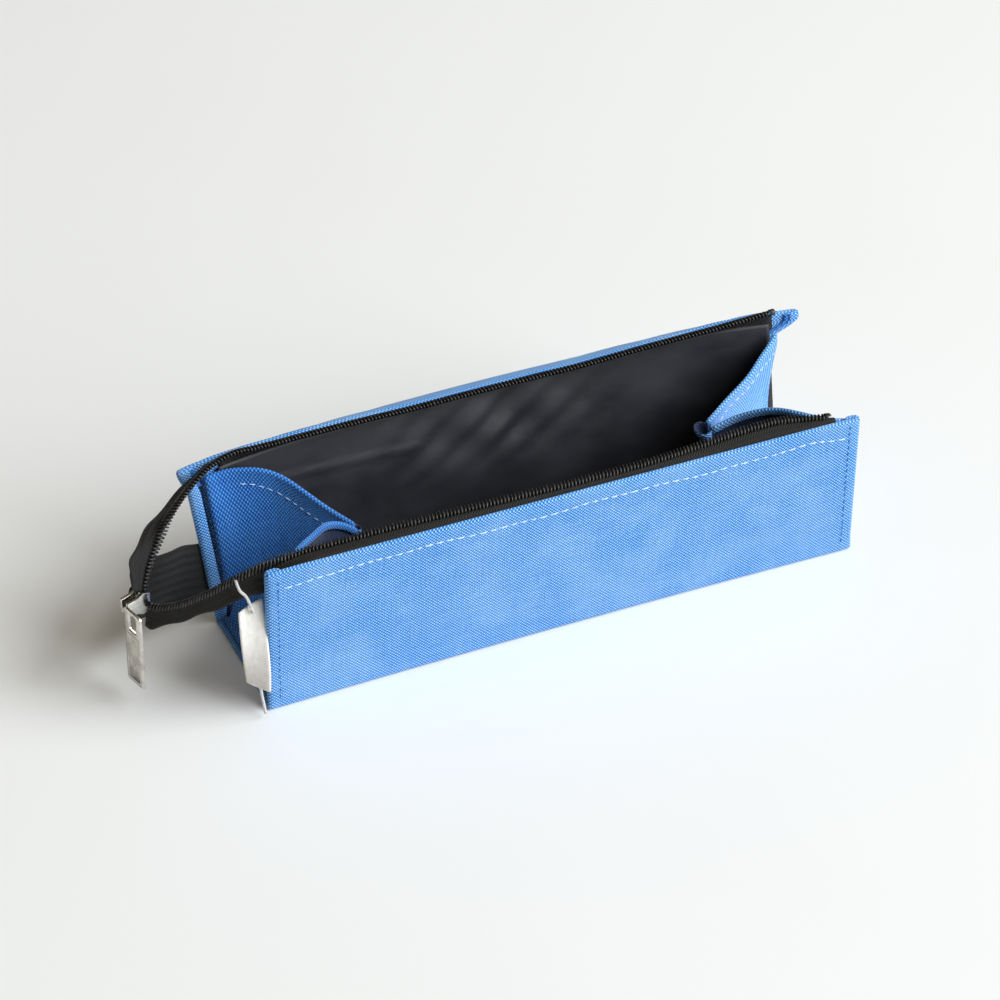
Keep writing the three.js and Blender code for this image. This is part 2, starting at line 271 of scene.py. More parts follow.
# The back wall's ends: the left one flares and its corner stands out, the right one is pulled in
# below and pinched into an ear above.
LEFT_FLARE = 6 * MM
LEFT_CORNER, LEFT_CORNER_FROM, LEFT_CORNER_OVER = 2.0 * MM, 48 * MM, 8 * MM
RIGHT_IN = -2.6 * MM
RIGHT_EAR, RIGHT_EAR_FROM, RIGHT_EAR_OVER = 8.4 * MM, 50.5 * MM, 5 * MM
RIGHT_PULL, RIGHT_PULL_OVER = 3.0 * MM, 50 * MM


def side_pull(u):
    """How far the right back corner's soft side is pulled in, u up the cloth."""
    return RIGHT_PULL * np.sin(np.pi * np.clip(u / RIGHT_PULL_OVER, 0, 1))


class Wall:
    def __init__(self, side):
        self.side = side
        self.out_sign = -1 if side == FRONT else 1
        swing = JOINTS[f"{side}_wall_swing"]
        seam = np.array(JOINTS[f"left_{side}_fold_turn"]["axis"], float)
        seam[0] = 0
        self.hinge = np.array(swing["pos_m"], float)
        self.up = unit(seam)
        self.out = np.cross((float(-self.out_sign), 0, 0), self.up)
        shape = WALL_SHAPES[side]
        self.turn_in = shape["turn_in"]
        self.bend_start = shape["bend_start"]
        self.cut_height = shape["cut_height"]
        self.tape_reach = shape["tape_reach"]
        self.bend_length = shape["bend_length"] * MM
        self.low_bow = shape["low_bow"] * MM
        self.top_bow = shape["top_bow"] * MM
        self.lift = shape["lift"] * MM

    def stretch(self, x, u):
        """How much longer the wall is at u up its cloth, towards the end that x is on."""
        if self.side == FRONT:
            return 1.0
        left = LEFT_FLARE * np.clip(u / WALL_HEIGHT, 0, 1)
        left = left + LEFT_CORNER * ease((u - LEFT_CORNER_FROM) / LEFT_CORNER_OVER)
        right = RIGHT_IN + RIGHT_EAR * ease((u - RIGHT_EAR_FROM) / RIGHT_EAR_OVER) - side_pull(u)
        return 1.0 + np.where(x < 0, left, right) / HALF

    def bow(self, x, u):
        """How far the cloth stands out of the flat wall, most of it in the middle."""
        middle = np.clip(1 - (x / HALF) ** 2, 0, 1)
        share = np.clip(u / WALL_HEIGHT, 0, 1)
        return middle * (self.low_bow * (1 - share) ** 1.5 + self.top_bow * share**1.6)

    def top(self, x):
        return read_table(self.cut_height, x) * MM

    def point(self, x, u, w):
        """The place on the wall at x, u and w."""
        x, u, w = np.broadcast_arrays(np.asarray(x, float), np.asarray(u, float), np.asarray(w, float))
        starts = read_table(self.bend_start, x) * MM
        full = np.radians(read_table(self.turn_in, x))
        past = np.clip(u - starts, 0, None)
        steps = (np.arange(BEND_STEPS) + 0.5) / BEND_STEPS
        angles = full[..., None] * ease(past[..., None] * steps / self.bend_length)
        rise = past * np.cos(angles).mean(axis=-1)
        inward = past * np.sin(angles).mean(axis=-1)
        tilt = full * ease(past / self.bend_length)
        high = np.minimum(u, starts) + rise + w * np.sin(tilt)
        outward = w * np.cos(tilt) - inward + self.bow(x, u)
        spot = self.hinge + self.up * high[..., None] + self.out * outward[..., None]
        spot[..., 0] = x
        spot[..., 2] += self.lift * np.clip(1 - (x / HALF) ** 2, 0, 1) * np.clip(1 - u / WALL_HEIGHT, 0, 1)
        return spot

    def fold_point(self, x, turn, w):
        """A place on the rolled fold under the wall, turn radians round from it."""
        x, turn, w = np.broadcast_arrays(np.asarray(x, float), np.asarray(turn, float), np.asarray(w, float))
        around = self.out * np.cos(turn)[..., None] - self.up * np.sin(turn)[..., None]
        spot = self.hinge + around * w[..., None] + self.out * self.bow(x, 0 * x)[..., None]
        spot[..., 0] = x
        spot[..., 2] += self.lift * np.clip(1 - (x / HALF) ** 2, 0, 1)
        return spot

    def turn_to_floor(self):
        return math.acos(np.clip(float(np.dot(self.out, -UP)), -1, 1))


WALLS = {side: Wall(side) for side in SIDES}


# Finishes


class Finish:
    """A material and short ways to add its nodes."""

    def __init__(self, name):
        self.material = bpy.data.materials.new(name)
        self.material.use_nodes = True
        self.tree = self.material.node_tree
        self.shader = self.tree.nodes["Principled BSDF"]

    def node(self, kind, links=(), **settings):
        made = self.tree.nodes.new(kind)
        for key, value in settings.items():
            setattr(made, key, value)
        for key, value in dict(links).items():
            self.feed(made.inputs[key], value)
        return made

    def feed(self, socket, value):
        if isinstance(value, bpy.types.NodeSocket):
            self.tree.links.new(value, socket)
        else:
            socket.default_value = value

    def math(self, operation, a, b=0.0):
        made = self.node("ShaderNodeMath", operation=operation)
        self.feed(made.inputs[0], a)
        self.feed(made.inputs[1], b)
        return made.outputs[0]

    def blend(self, share, a, b):
        """Colour a where share is 0, b where it is 1."""
        made = self.node("ShaderNodeMix", data_type="RGBA")
        self.feed(made.inputs["Factor"], share)
        self.feed(made.inputs["A"], a)
        self.feed(made.inputs["B"], b)
        return made.outputs["Result"]

    def spread(self, value, low, high, to_low=0.0, to_high=1.0):
        """The value eased from its range, low to high, into another one."""
        made = self.node("ShaderNodeMapRange", interpolation_type="SMOOTHSTEP")
        names = ("Value", "From Min", "From Max", "To Min", "To Max")
        for name, item in zip(names, (value, low, high, to_low, to_high)):
            self.feed(made.inputs[name], item)
        return made.outputs["Result"]

    def cloth(self):
        spot = self.node("ShaderNodeUVMap", uv_map=CLOTH_LAYER)
        parts = self.node("ShaderNodeSeparateXYZ", {"Vector": spot.outputs[0]})
        return spot.outputs[0], parts.outputs["X"], parts.outputs["Y"]

    def place(self):
        return self.node("ShaderNodeTexCoord").outputs["Object"]

    def noise(self, where, scale, detail=2.0, stretch=None):
        if stretch:
            where = self.node("ShaderNodeVectorMath", {0: where, 1: stretch}, operation="MULTIPLY").outputs[0]
        made = self.node("ShaderNodeTexNoise", {"Vector": where, "Scale": scale, "Detail": detail})
        return made.outputs["Fac"]

    def bump(self, height, distance, strength=1.0):
        made = self.node("ShaderNodeBump", {"Height": height, "Distance": distance, "Strength": strength})
        self.tree.links.new(made.outputs[0], self.shader.inputs["Normal"])

    def surface(self, colour, roughness, **constants):
        self.feed(self.shader.inputs["Base Color"], colour)
        self.feed(self.shader.inputs["Roughness"], roughness)
        for key, value in constants.items():
            self.shader.inputs[key.replace("_", " ")].default_value = value
        return self.material


def opaque(colour):
    return (colour[0], colour[1], colour[2], 1.0)


def finish_named(name):
    """Makes a function that finishes a material into one that gives it, finished once."""

    def wrap(build):
        def give():
            return bpy.data.materials.get(name) or build(Finish(name), case_colours())

        return give

    return wrap


def woven(finish, cell):
    """A plain weave's height, from -1 where the weft lies on top to 1 where the warp does."""
    spot, along, across = finish.cloth()
    waves = []
    for length in (along, across):
        waves.append(finish.math("SINE", finish.math("MULTIPLY", length, math.pi / cell)))
    return spot, finish.math("MULTIPLY", *waves)


def canvas_finish(finish, deep, face, pale):
    """Plain weave: pale dots where a thread lies on top, partly the weave's pattern and partly painted
    highlight, with uneven threads and worn clouds.
    """
    spot, weave = woven(finish, case_sizes().weave_cell)
    slubs = finish.noise(spot, 1.0, 1.0, (90.0, 1900.0, 1.0))
    picks = finish.noise(spot, 1.0, 1.0, (1900.0, 90.0, 1.0))
    threads = finish.math("ADD", slubs, picks)
    clouds = finish.noise(finish.place(), 55.0, 3.0)
    uneven = finish.math("MULTIPLY", finish.math("SUBTRACT", threads, 1.0), 0.55)
    raised = finish.math("ADD", weave, uneven)
    tone = finish.blend(finish.spread(raised, -0.6, 0.05), opaque(deep), opaque(face))
    # Pale thread tops: the weave's pattern, with painted highlight where the threads rise.
    tone = finish.blend(finish.spread(raised, 0.2, 0.75), tone, opaque(pale))
    worn = finish.math("MULTIPLY", finish.spread(clouds, 0.35, 0.7), 0.16)
    tone = finish.blend(worn, tone, opaque(pale))
    rough = finish.spread(threads, 0.6, 1.4, 0.62, 0.82)
    finish.bump(raised, 0.16 * MM, 0.7)
    return finish.surface(tone, rough, Sheen_Weight=0.25, Sheen_Roughness=0.45, Specular_IOR_Level=0.35)


@finish_named("blue canvas")
def canvas(finish, hues):
    return canvas_finish(finish, hues.canvas_deep, hues.canvas, hues.canvas_pale_and_highlight)


# The canvas with its blues darkened: painted shade for the left end and the turned-in strips.
@finish_named("blue canvas, painted shade")
def painted_shade_canvas(finish, hues):
    return canvas_finish(finish, hues.painted_shade_deep, hues.fold, hues.painted_shade_pale)


# Near-black navy for the canvas's inner side.
@finish_named("canvas inside")
def canvas_back(finish, hues):
    return canvas_finish(finish, hues.inside, hues.inside, hues.inside_pale)


@finish_named("nylon lining")
def lining(finish, hues):
    """Fine nylon, greyer and rougher over its soft folds."""
    weave = woven(finish, 0.22 * MM)[1]
    folds = finish.noise(finish.place(), 38.0, 3.0, (1.0, 1.0, 1.6))
    tone = finish.blend(finish.spread(folds, 0.3, 0.75), opaque(hues.lining), opaque(hues.lining_pale))
    height = finish.math("ADD", finish.math("MULTIPLY", weave, 0.03), finish.math("MULTIPLY", folds, 1.2))
    finish.bump(height, 0.9 * MM, 0.5)
    rough = finish.spread(folds, 0.3, 0.7, 0.42, 0.56)
    return finish.surface(tone, rough, Sheen_Weight=0.12, Sheen_Roughness=0.4, Specular_IOR_Level=0.45)


@finish_named("zip tape")
def tape(finish, hues):
    """Herringbone tape: twill ribs that change direction every few millimetres across."""
    spot, along, across = finish.cloth()
    band = finish.math("PINGPONG", across, 1.5 * MM)
    slant = finish.math("ADD", along, band)
    ribs = finish.math("SINE", finish.math("MULTIPLY", slant, 2 * math.pi / (0.95 * MM)))
    fuzz = finish.noise(spot, 1500.0, 2.0)
    height = finish.math("ADD", ribs, fuzz)
    tone = finish.blend(finish.spread(height, -0.4, 1.4), opaque(hues.tape), opaque(hues.tape_pale))
    finish.bump(height, 0.1 * MM, 0.8)
    rough = finish.spread(fuzz, 0.3, 0.7, 0.6, 0.8)
    return finish.surface(tone, rough, Sheen_Weight=0.06, Sheen_Roughness=0.5, Specular_IOR_Level=0.25)


@finish_named("coil nylon")
def coil_nylon(finish, hues):
    scuff = finish.noise(finish.place(), 900.0, 2.0)
    tone = finish.blend(finish.spread(scuff, 0.4, 0.75), opaque(hues.coil), opaque(hues.coil_pale))
    finish.bump(scuff, 0.03 * MM, 0.5)
    return finish.surface(tone, finish.spread(scuff, 0.3, 0.7, 0.28, 0.45), Specular_IOR_Level=0.5)


@finish_named("nickel plate")
def nickel(finish, hues):
    """Brushed plate, duller where fingers smear it."""
    place = finish.place()
    brushed = finish.noise(place, 1.0, 3.0, (2600.0, 2600.0, 160.0))
    smear = finish.noise(place, 260.0, 2.0)
    tone = finish.blend(finish.spread(smear, 0.35, 0.8), opaque(hues.nickel), opaque(hues.nickel_dull))
    finish.bump(brushed, 0.02 * MM, 0.35)
    return finish.surface(tone, finish.spread(smear, 0.3, 0.75, 0.2, 0.34), Metallic=1.0)


def thread_finish(finish, colour, pale):
    """Twisted thread: fine slanting plies."""
    along, across = finish.cloth()[1:]
    slant = finish.math("ADD", along, across)
    twist = finish.math("SINE", finish.math("MULTIPLY", slant, 2 * math.pi / (0.45 * MM)))
    tone = finish.blend(finish.spread(twist, -0.8, 0.6), opaque(colour), opaque(pale))
    finish.bump(twist, 0.05 * MM, 0.6)
    return finish.surface(tone, 0.6, Sheen_Weight=0.3, Sheen_Roughness=0.4)


@finish_named("pale thread")
def thread(finish, hues):
    return thread_finish(finish, hues.thread, hues.thread_pale)


@finish_named("blue thread")
def seam_thread(finish, hues):
    return thread_finish(finish, hues.canvas_deep, hues.canvas)


@finish_named("tag card")
def paper(finish, hues):
    fibres = finish.noise(finish.place(), 1.0, 3.0, (900.0, 900.0, 420.0))
    tone = finish.blend(finish.spread(fibres, 0.3, 0.8), opaque(hues.paper), opaque(hues.paper_shade))
    finish.bump(fibres, 0.04 * MM, 0.5)
    return finish.surface(tone, finish.spread(fibres, 0.3, 0.7, 0.7, 0.85), Specular_IOR_Level=0.3)


@finish_named("clear plastic")
def plastic(finish, hues):
    cloudy = finish.noise(finish.place(), 400.0, 2.0)
    tone = finish.blend(finish.spread(cloudy, 0.3, 0.7), opaque(hues.plastic), opaque(hues.paper))
    rough = finish.spread(cloudy, 0.3, 0.7, 0.2, 0.32)
    return finish.surface(tone, rough, Transmission_Weight=0.35, IOR=1.49)


@finish_named("grey board")
def board(finish, hues):
    pulp = finish.noise(finish.place(), 700.0, 4.0)
    tone = finish.blend(finish.spread(pulp, 0.3, 0.7), opaque(hues.board), opaque(hues.paper_shade))
    finish.bump(pulp, 0.08 * MM, 0.6)
    return finish.surface(tone, 0.9)


@finish_named("pale floor")
def pale_floor(finish, hues):
    grain = finish.noise(finish.place(), 6.0, 3.0)
    tone = finish.blend(finish.spread(grain, 0.2, 0.8), opaque(hues.floor), opaque(hues.floor_warm))
    return finish.surface(tone, 0.75, Specular_IOR_Level=0.15)


# Base and walls


def sewn(piece, body=None, nodes=()):
    """What every cloth piece needs: its body, and the solids that it stands for hidden."""
    if nodes:
        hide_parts(*nodes)
    if body:
        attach(piece, body)
    return piece


def across_positions():
    """(x, step in) pairs over a wall, from one rolled side edge to the other."""
    sizes = case_sizes()
    roll = sizes.edge_roll
    flat = np.linspace(-(HALF - roll), HALF - roll, 120)
    middle = [(x, 0.0) for x in flat]
    right = []
    for turn in np.linspace(0, math.pi, 8)[1:]:
        right.append((HALF - roll + roll * math.sin(turn), roll * (math.cos(turn) - 1)))
    for x in np.linspace(HALF - roll, SEAM_HALF + 0.5 * MM, 4)[1:]:
        right.append((x, -2 * roll))
    left = [(-x, w) for x, w in reversed(right)]
    return np.array(left + middle + right)


def wall_canvas(side):
    """One wall's canvas: round the base fold, up the outside, over the hem and down inside."""
    sizes = case_sizes()
    wall = WALLS[side]
    across = across_positions()
    x, step_in = across[:, 0], across[:, 1]
    face = sizes.fold_radius - sizes.canvas_thickness / 2
    # The side edges are thinner below, where they're folded under the base.
    low_share, thickens_over = 0.4, 0.1
    rows = []
    turns = np.linspace(wall.turn_to_floor(), 0, 9)
    for turn in turns:
        rows.append(wall.fold_point(x, turn, face + step_in * low_share * (1 - turn / turns[0])))
    hem_roll = sizes.canvas_thickness * 0.62
    top = wall.top(x)
    for share in np.linspace(0, 1, 56)[1:]:
        u = share * (top - hem_roll)
        fade = low_share + (1 - low_share) * ease(share / thickens_over)
        rows.append(wall.point(x * wall.stretch(x, u), u, face + step_in * fade))
    grown = wall.stretch(x, WALL_HEIGHT)
    tucked = (HALF - 1.6 * MM) / HALF
    for turn in np.linspace(0, math.pi, 7)[1:]:
        u = top - hem_roll + hem_roll * math.sin(turn)
        tuck = ease(turn / math.pi)
        narrow = 1 - (1 - tucked) * tuck
        over = face + step_in * (1 - (1 - low_share) * tuck) + hem_roll * (math.cos(turn) - 1)
        rows.append(wall.point(x * grown * narrow, u, over))
    for share in np.linspace(0, 1, 7)[1:]:
        u = top - hem_roll - share * sizes.hem
        narrow = np.minimum(grown, wall.stretch(x, u)) * tucked
        rows.append(wall.point(x * narrow, u, face + step_in * low_share - 2 * hem_roll))
    points = np.stack(rows)
    if wall.out_sign < 0:
        points = points[:, ::-1]
    work = Patchwork()
    add_sheet(work, points[::-1], sizes.canvas_thickness)
    # The turned-in strips at the side edges, and the whole rolled edge at the left back corner, take the
    # canvas darkened with painted shade.
    strips = points.shape[1] - 1
    turned_in, rolled = 4, 9
    for k in range((points.shape[0] - 1) * strips):
        strip = k % strips
        if min(strip, strips - 1 - strip) < turned_in or (side == BACK and strip < rolled):
            work.finish[k] = 1
    piece = work.make(f"{side}_canvas", [canvas(), painted_shade_canvas()])
    sewn(piece, nodes=[f"{side}_cover"])
    low = wall.fold_point(0.0, 0.0, face)
    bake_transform(piece)
    return piece


def bottom_edge(side, x):
    """Where the base cloth meets a wall's fold."""
    wall = WALLS[side]
    sizes = case_sizes()
    face = sizes.fold_radius - sizes.canvas_thickness / 2
    return wall.fold_point(x, wall.turn_to_floor(), face)


def base_canvas():
    """The canvas under the base, between the two folds."""
    sizes = case_sizes()
    roll = sizes.edge_roll
    edge = HALF - 0.1 * MM
    x = np.concatenate([[-edge], np.linspace(-HALF + roll, HALF - roll, 90), [edge]])
    near, far = bottom_edge(FRONT, x), bottom_edge(BACK, x)
    share = np.linspace(0, 1, 24)[:, None, None]
    points = near[None] * (1 - share) + far[None] * share
    end_lift = ease((np.abs(x) - HALF + 3 * MM) / (3 * MM)) * 0.5 * MM
    points[..., 2] += end_lift[None]
    work = Patchwork()
    add_sheet(work, points, sizes.canvas_thickness)
    piece = work.make("base_canvas", [canvas()])
    sewn(piece, "base", ["base_cover"])
    return piece


def stiffener(side):
    """A wall's board, which follows the wall's own curve."""
    wall = WALLS[side]
    low, high = 3.2 * MM, 49 * MM
    x = np.linspace(-(SEAM_HALF - 2 * MM), SEAM_HALF - 2 * MM, 60)
    u = np.linspace(low, high, 16)
    grid_x, grid_u = np.meshgrid(x, u, indexing="ij")
    depth = -0.2 * MM
    points = wall.point(grid_x, grid_u, depth)
    work = Patchwork()
    add_sheet(work, points, 0.9 * MM, edge_share=0.7)
    piece = work.make(f"{side}_stiffener", [board()])
    sewn(piece, f"{side}_wall", [f"{side}_board"])
    return piece


def pucker(side, x, u):
    """Slanting folds in a wall's lining, gathered where the zip's seam pulls it."""
    if side == FRONT:
        return 0.15 * MM * np.sin(x / (9 * MM) + u / (6 * MM))
    gathered = np.exp(-(((x + 2 * MM) / (30 * MM)) ** 2)) * ease((u - 26 * MM) / (16 * MM))
    slant = np.sin((x - 1.5 * u) / (2.6 * MM)) + 0.6 * np.sin((x + 0.8 * u) / (4.3 * MM) + 1.2)
    crease_at = 44 * MM - (x + 60 * MM) * 0.05
    crease = np.exp(-(((u - crease_at) / (0.9 * MM)) ** 2)) * ease((-x - 20 * MM) / (20 * MM))
    broad = np.sin(x / (21 * MM) + 0.7) * np.sin(u / (17 * MM))
    return 0.55 * MM * gathered * slant + 0.5 * MM * crease + 0.35 * MM * broad


def wall_lining(side):
    """A wall's lining, hung inside its board."""
    wall = WALLS[side]
    edge = SEAM_HALF - 1 * MM
    x = np.linspace(-edge, edge, 150)
    share = np.linspace(0, 1, 44)
    grid_x, grid_share = np.meshgrid(x, share, indexing="ij")
    low = 2.2 * MM
    tall = wall.top(grid_x) - 2.5 * MM
    u = low + grid_share * (tall - low)
    swell = np.sin(np.pi * grid_share) * 0.5 * MM
    held = np.sin(np.pi * np.clip(grid_share, 0, 1)) ** 0.5
    w = -1.35 * MM - np.abs(swell) - pucker(side, grid_x, u) * held
    clear_of_board = -1.2 * MM
    points = wall.point(grid_x, u, np.minimum(w, clear_of_board))
    if wall.out_sign > 0:
        points = points[::-1]
    work = Patchwork()
    add_sheet(work, points, 0.35 * MM)
    piece = work.make(f"{side}_wall_lining", [lining()])
    sewn(piece, f"{side}_wall", [f"{side}_lining"])
    return piece


def floor_lining():
    """The lining over the base, lifting a little where it meets the walls' linings."""
    low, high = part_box("base_lining")
    x = np.linspace(low[0], high[0], 110)
    y = np.linspace(low[1] - 1.2 * MM, high[1] + 1.0 * MM, 34)
    grid_x, grid_y = np.meshgrid(x, y, indexing="ij")
    bowed = WALLS[FRONT].bow(grid_x, 0 * grid_x)
    near = ease(-grid_y / high[1])
    grid_y = grid_y - bowed * near * 0.8
    rise = ease((np.abs(grid_y) - high[1] + 3.0 * MM) / (4 * MM)) * 0.9 * MM
    slack = 0.35 * MM * np.sin(grid_x / (24 * MM)) * np.sin(grid_y / (9 * MM) + 0.8)
    points = np.stack([grid_x, grid_y, high[2] + rise + np.abs(slack)], axis=-1)
    work = Patchwork()
    add_sheet(work, points, 0.35 * MM)
    piece = work.make("floor_lining", [lining()])
    sewn(piece, "base", ["base_lining"])
    return piece


# Fold-in ends. Each half's top edge runs from its wall's seam to the tip, given point by point, because
# the cloth hangs as it was folded. Places are in millimetres, on the left end unless mirrored.

TOP_EDGES = {
    ("left", FRONT): ((-99.0, -22.4, 53.6), (-94, -20.2, 53.8), (-88.3, -15.2, 54), (-81.5, -8.6, 52.8),
                      (-73.7, -2.0, 50), (-67.1, 0.4, 46.6), (-62, 0.4, 42.6)),
    ("left", BACK): ((-102.0, 29.0, 54.6), (-95, 29.4, 55.0), (-89.6, 28.2, 55.0), (-84, 25.8, 54.4),
                     (-79, 22.4, 52.4), (-73.7, 16.8, 49.0), (-67.3, 8.8, 45.2), (-62, 2.0, 42.6)),
    ("right", FRONT): ((99.0, -22.4, 53.2), (93.3, -21.5, 54.8), (86, -14.6, 54.6), (81.5, -8.8, 53.0),
                       (76.8, -3.8, 50.7), (70.5, 0.6, 47.2), (62.5, 1.6, 44)),
    ("right", BACK): ((98.6, 28.0, 53.2), (93, 22.9, 51.6), (85.8, 17.4, 50.2), (78.2, 12.8, 48.2),
                      (69, 7.4, 45.6), (62.5, 4.2, 44)),
}


def end_canvas(end):
    """The left end takes a deeper blue: the canvas darkened with painted shade."""
    return painted_shade_canvas() if end == "left" else canvas()


def crease_ends(end, side):
    """A crease's low end, at the base corner, and its high end, at the tip."""
    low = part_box(f"{end}_gusset_{side}")[0][2] - 3 * MM
    sign = ENDS[end]
    seam = WALLS[side].point(sign * SEAM_HALF, low, -2.2 * MM)
    top_edge = mm(TOP_EDGES[end, side])
    return seam, top_edge[-1]


def gusset_half(end, side):
    """The upper half of a fold-in end that hangs from one wall's seam."""
    sizes = case_sizes()
    sign = ENDS[end]
    columns, rows = 40, 30
    top = smooth_through(mm(TOP_EDGES[end, side]), columns)
    seam_low, tip = crease_ends(end, side)
    across = np.linspace(0, 1, columns)[:, None]
    crease = seam_low * (1 - across) + (tip - (0, 0, 3.0 * MM)) * across
    down = np.linspace(0, 1, rows)[None, :, None]
    straight = top[:, None] * (1 - down) + crease[:, None] * down
    hollow = np.sin(np.pi * across) * np.sin(np.pi * down[..., 0] ** 0.8)
    facing = unit(np.cross(top[-1] - seam_low, UP))
    hollow_depth, ripple_depth = 1.6 * MM, 0.5 * MM
    push = hollow_depth * WALLS[side].out_sign * sign
    ripple = ripple_depth * np.sin(across * 9 + down[..., 0] * 3.0) * np.sin(np.pi * across)
    points = straight + facing * ((push * hollow + ripple) * (1 if side == BACK else -1))[..., None]
    if (end, side) == ("right", BACK):
        points[..., 0] -= side_pull(points[..., 2]) * 1.3 * (1 - across) ** 1.5
    # The top edge is turned over to the inside once.
    roll = sizes.canvas_thickness * 0.6
    hem = 1.8 * MM
    inner = unit(np.cross(np.gradient(points, axis=0), np.gradient(points, axis=1)))[:, 0]
    inner_sign = 1.0 if np.dot(inner[columns // 2], (sign * -1.0, 0, 0)) > 0 else -1.0
    inner = inner * inner_sign
    turned = []
    for turn in np.linspace(math.pi, 0, 6)[:-1]:
        lift = UP * roll * math.sin(turn)
        turned.append(points[:, 0] + lift + inner * roll * (1 - math.cos(turn)))
    down_edge = unit(points[:, 0] - points[:, 4])
    under = [turned[0] - down_edge * hem * part for part in (1.0, 0.66, 0.33)]
    grid = np.concatenate([np.stack(under + turned, axis=1), points], axis=1)
    if inner_sign > 0:
        grid = grid[:, ::-1]
    work = Patchwork()
    add_sheet(work, grid, sizes.canvas_thickness, faces_finish=(0, 1))
    piece = work.make(f"{end}_{side}_fold_canvas", [end_canvas(end), canvas_back()])
    sewn(piece, nodes=[f"{end}_gusset_{side}"])
    leave_seam(piece)
    return piece


def leave_seam(piece):
    """Bakes the piece's place into its mesh."""
    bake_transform(piece)


def gusset_base(end):
    """The lower triangle of a fold-in end, from the base's end edge up to the tip."""
    sizes = case_sizes()
    sign = ENDS[end]
    front_low, front_tip = crease_ends(end, FRONT)
    back_low, back_tip = crease_ends(end, BACK)
    rows, columns = 34, 30
    share = np.linspace(0, 1, rows)[:, None]
    drop = UP * 3.4 * MM
    near = front_low * (1 - share) + (front_tip - drop) * share
    far = back_low * (1 - share) + (back_tip - drop) * share
    foot_z = 3.0 * MM
    near[0, 2] = far[0, 2] = foot_z
    side = np.linspace(0, 1, columns)[None, :, None]
    points = near[:, None] * (1 - side) + far[:, None] * side
    hollow = np.sin(np.pi * side[..., 0]) * np.sin(np.pi * share) ** 0.8
    points = points + np.array((sign * -1.0, 0, 0.6)) * (2.2 * MM * hollow)[..., None]
    foot = points[0] + np.array((sign * 2.4 * MM, 0, -0.6 * MM))
    points = np.concatenate([foot[None], points])
    if sign > 0:
        points = points[:, ::-1]
    work = Patchwork()
    add_sheet(work, points, sizes.canvas_thickness, faces_finish=(0, 1))
    piece = work.make(f"{end}_base_fold_canvas", [end_canvas(end), canvas_back()])
    sewn(piece, nodes=[f"{end}_gusset_base"])
    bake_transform(piece)
    return piece


def gusset_tip(end):
    """The small roll that the cloth makes where both halves meet at the tip."""
    sizes = case_sizes()
    sign = ENDS[end]
    front = mm(TOP_EDGES[end, FRONT][-1])
    back = mm(TOP_EDGES[end, BACK][-1])
    middle = (front + back) / 2
    reach = (5.2 if end == "right" else 1.8) * MM
    wide = (3.4 if end == "right" else 1.3) * MM
    loop = []
    for turn in np.linspace(-0.82 * math.pi, 0.82 * math.pi, 22):
        loop.append(middle + np.array((-sign * reach * 0.5 * (1 + math.cos(turn)), wide * math.sin(turn), 0)))
    rim = np.vstack([[front + (sign * 1.0 * MM, 0, 0)], loop, [back + (sign * 1.0 * MM, 0, 0)]])
    depths = np.linspace(0, 7.5 * MM, 8)
    rows = []
    for depth in depths:
        shrink = 1 - 0.75 * (depth / depths[-1]) ** 1.5
        centre = middle + (sign * 0.12 * depth, 0, -depth)
        rows.append(centre + (rim - middle) * (shrink, shrink, 1))
    grid = np.stack(rows)
    if sign < 0:
        grid = grid[:, ::-1]
    work = Patchwork()
    add_sheet(work, grid, sizes.canvas_thickness * 0.8, faces_finish=(1, 0))
    piece = work.make(f"{end}_tip_roll", [end_canvas(end), canvas_back()])
    sewn(piece, f"{end}_base_fold")
    return piece


# The zip. The tapes' runs past the left end repeat the frame's own route points, in
# millimetres; each is its coil edge and its free edge.

RUNS = {
    FRONT: {
        "coil": ((-100.2, -19.6, 56.2), (-108.5, -18, 52.6), (-116.3, -13.7, 46), (-123.5, -6.8, 38.6),
                 (-129, -0.7, 34.4), (-131.8, 2.6, 34.2)),
        "free": ((-102, -22.4, 47.5), (-110, -19, 43.5), (-117.5, -13.2, 37), (-124.5, -5.5, 29.8),
                 (-130.6, 1.1, 24), (-132.6, 3.4, 24.6)),
    },
    BACK: {
        "coil": ((-97.5, 28.6, 59.6), (-103.8, 25.8, 58.4), (-111, 22, 55.2), (-117.5, 17.6, 52),
                 (-123.5, 13.2, 48), (-128.2, 9.5, 43.3), (-130.9, 7, 38.6), (-132, 5.4, 35.8)),
        "free": ((-98.5, 32.2, 57.8), (-106, 30.4, 55.5), (-115.5, 26.5, 51), (-124.5, 20.5, 49),
                 (-132, 10.5, 50), (-136, 5, 49.5), (-136.4, 2.6, 45.5), (-136.6, 2.2, 41.0)),
    },
}
ZIP_SPANS = {FRONT: (-88, 91), BACK: (-91, 98)}
TAIL = {
    "top": ((-104.5, 28, 30), (-106.5, 27, 31), (-114, 21.8, 36), (-124, 15, 41), (-132, 12, 41.5),
            (-134.6, 6.6, 40.8)),
    "bottom": ((-102.5, 26.5, 8.5), (-104.5, 25.5, 9.5), (-113.5, 20.8, 14.5), (-124, 14.4, 19),
               (-132, 11.6, 21), (-135, 6.4, 27.4)),
}
TAPE_LINES = 12
# How far each tape runs on past its coil's right end, in millimetres.
TAPE_PAST_COIL = {FRONT: 3, BACK: 0.5}
RUN_STATIONS = 70


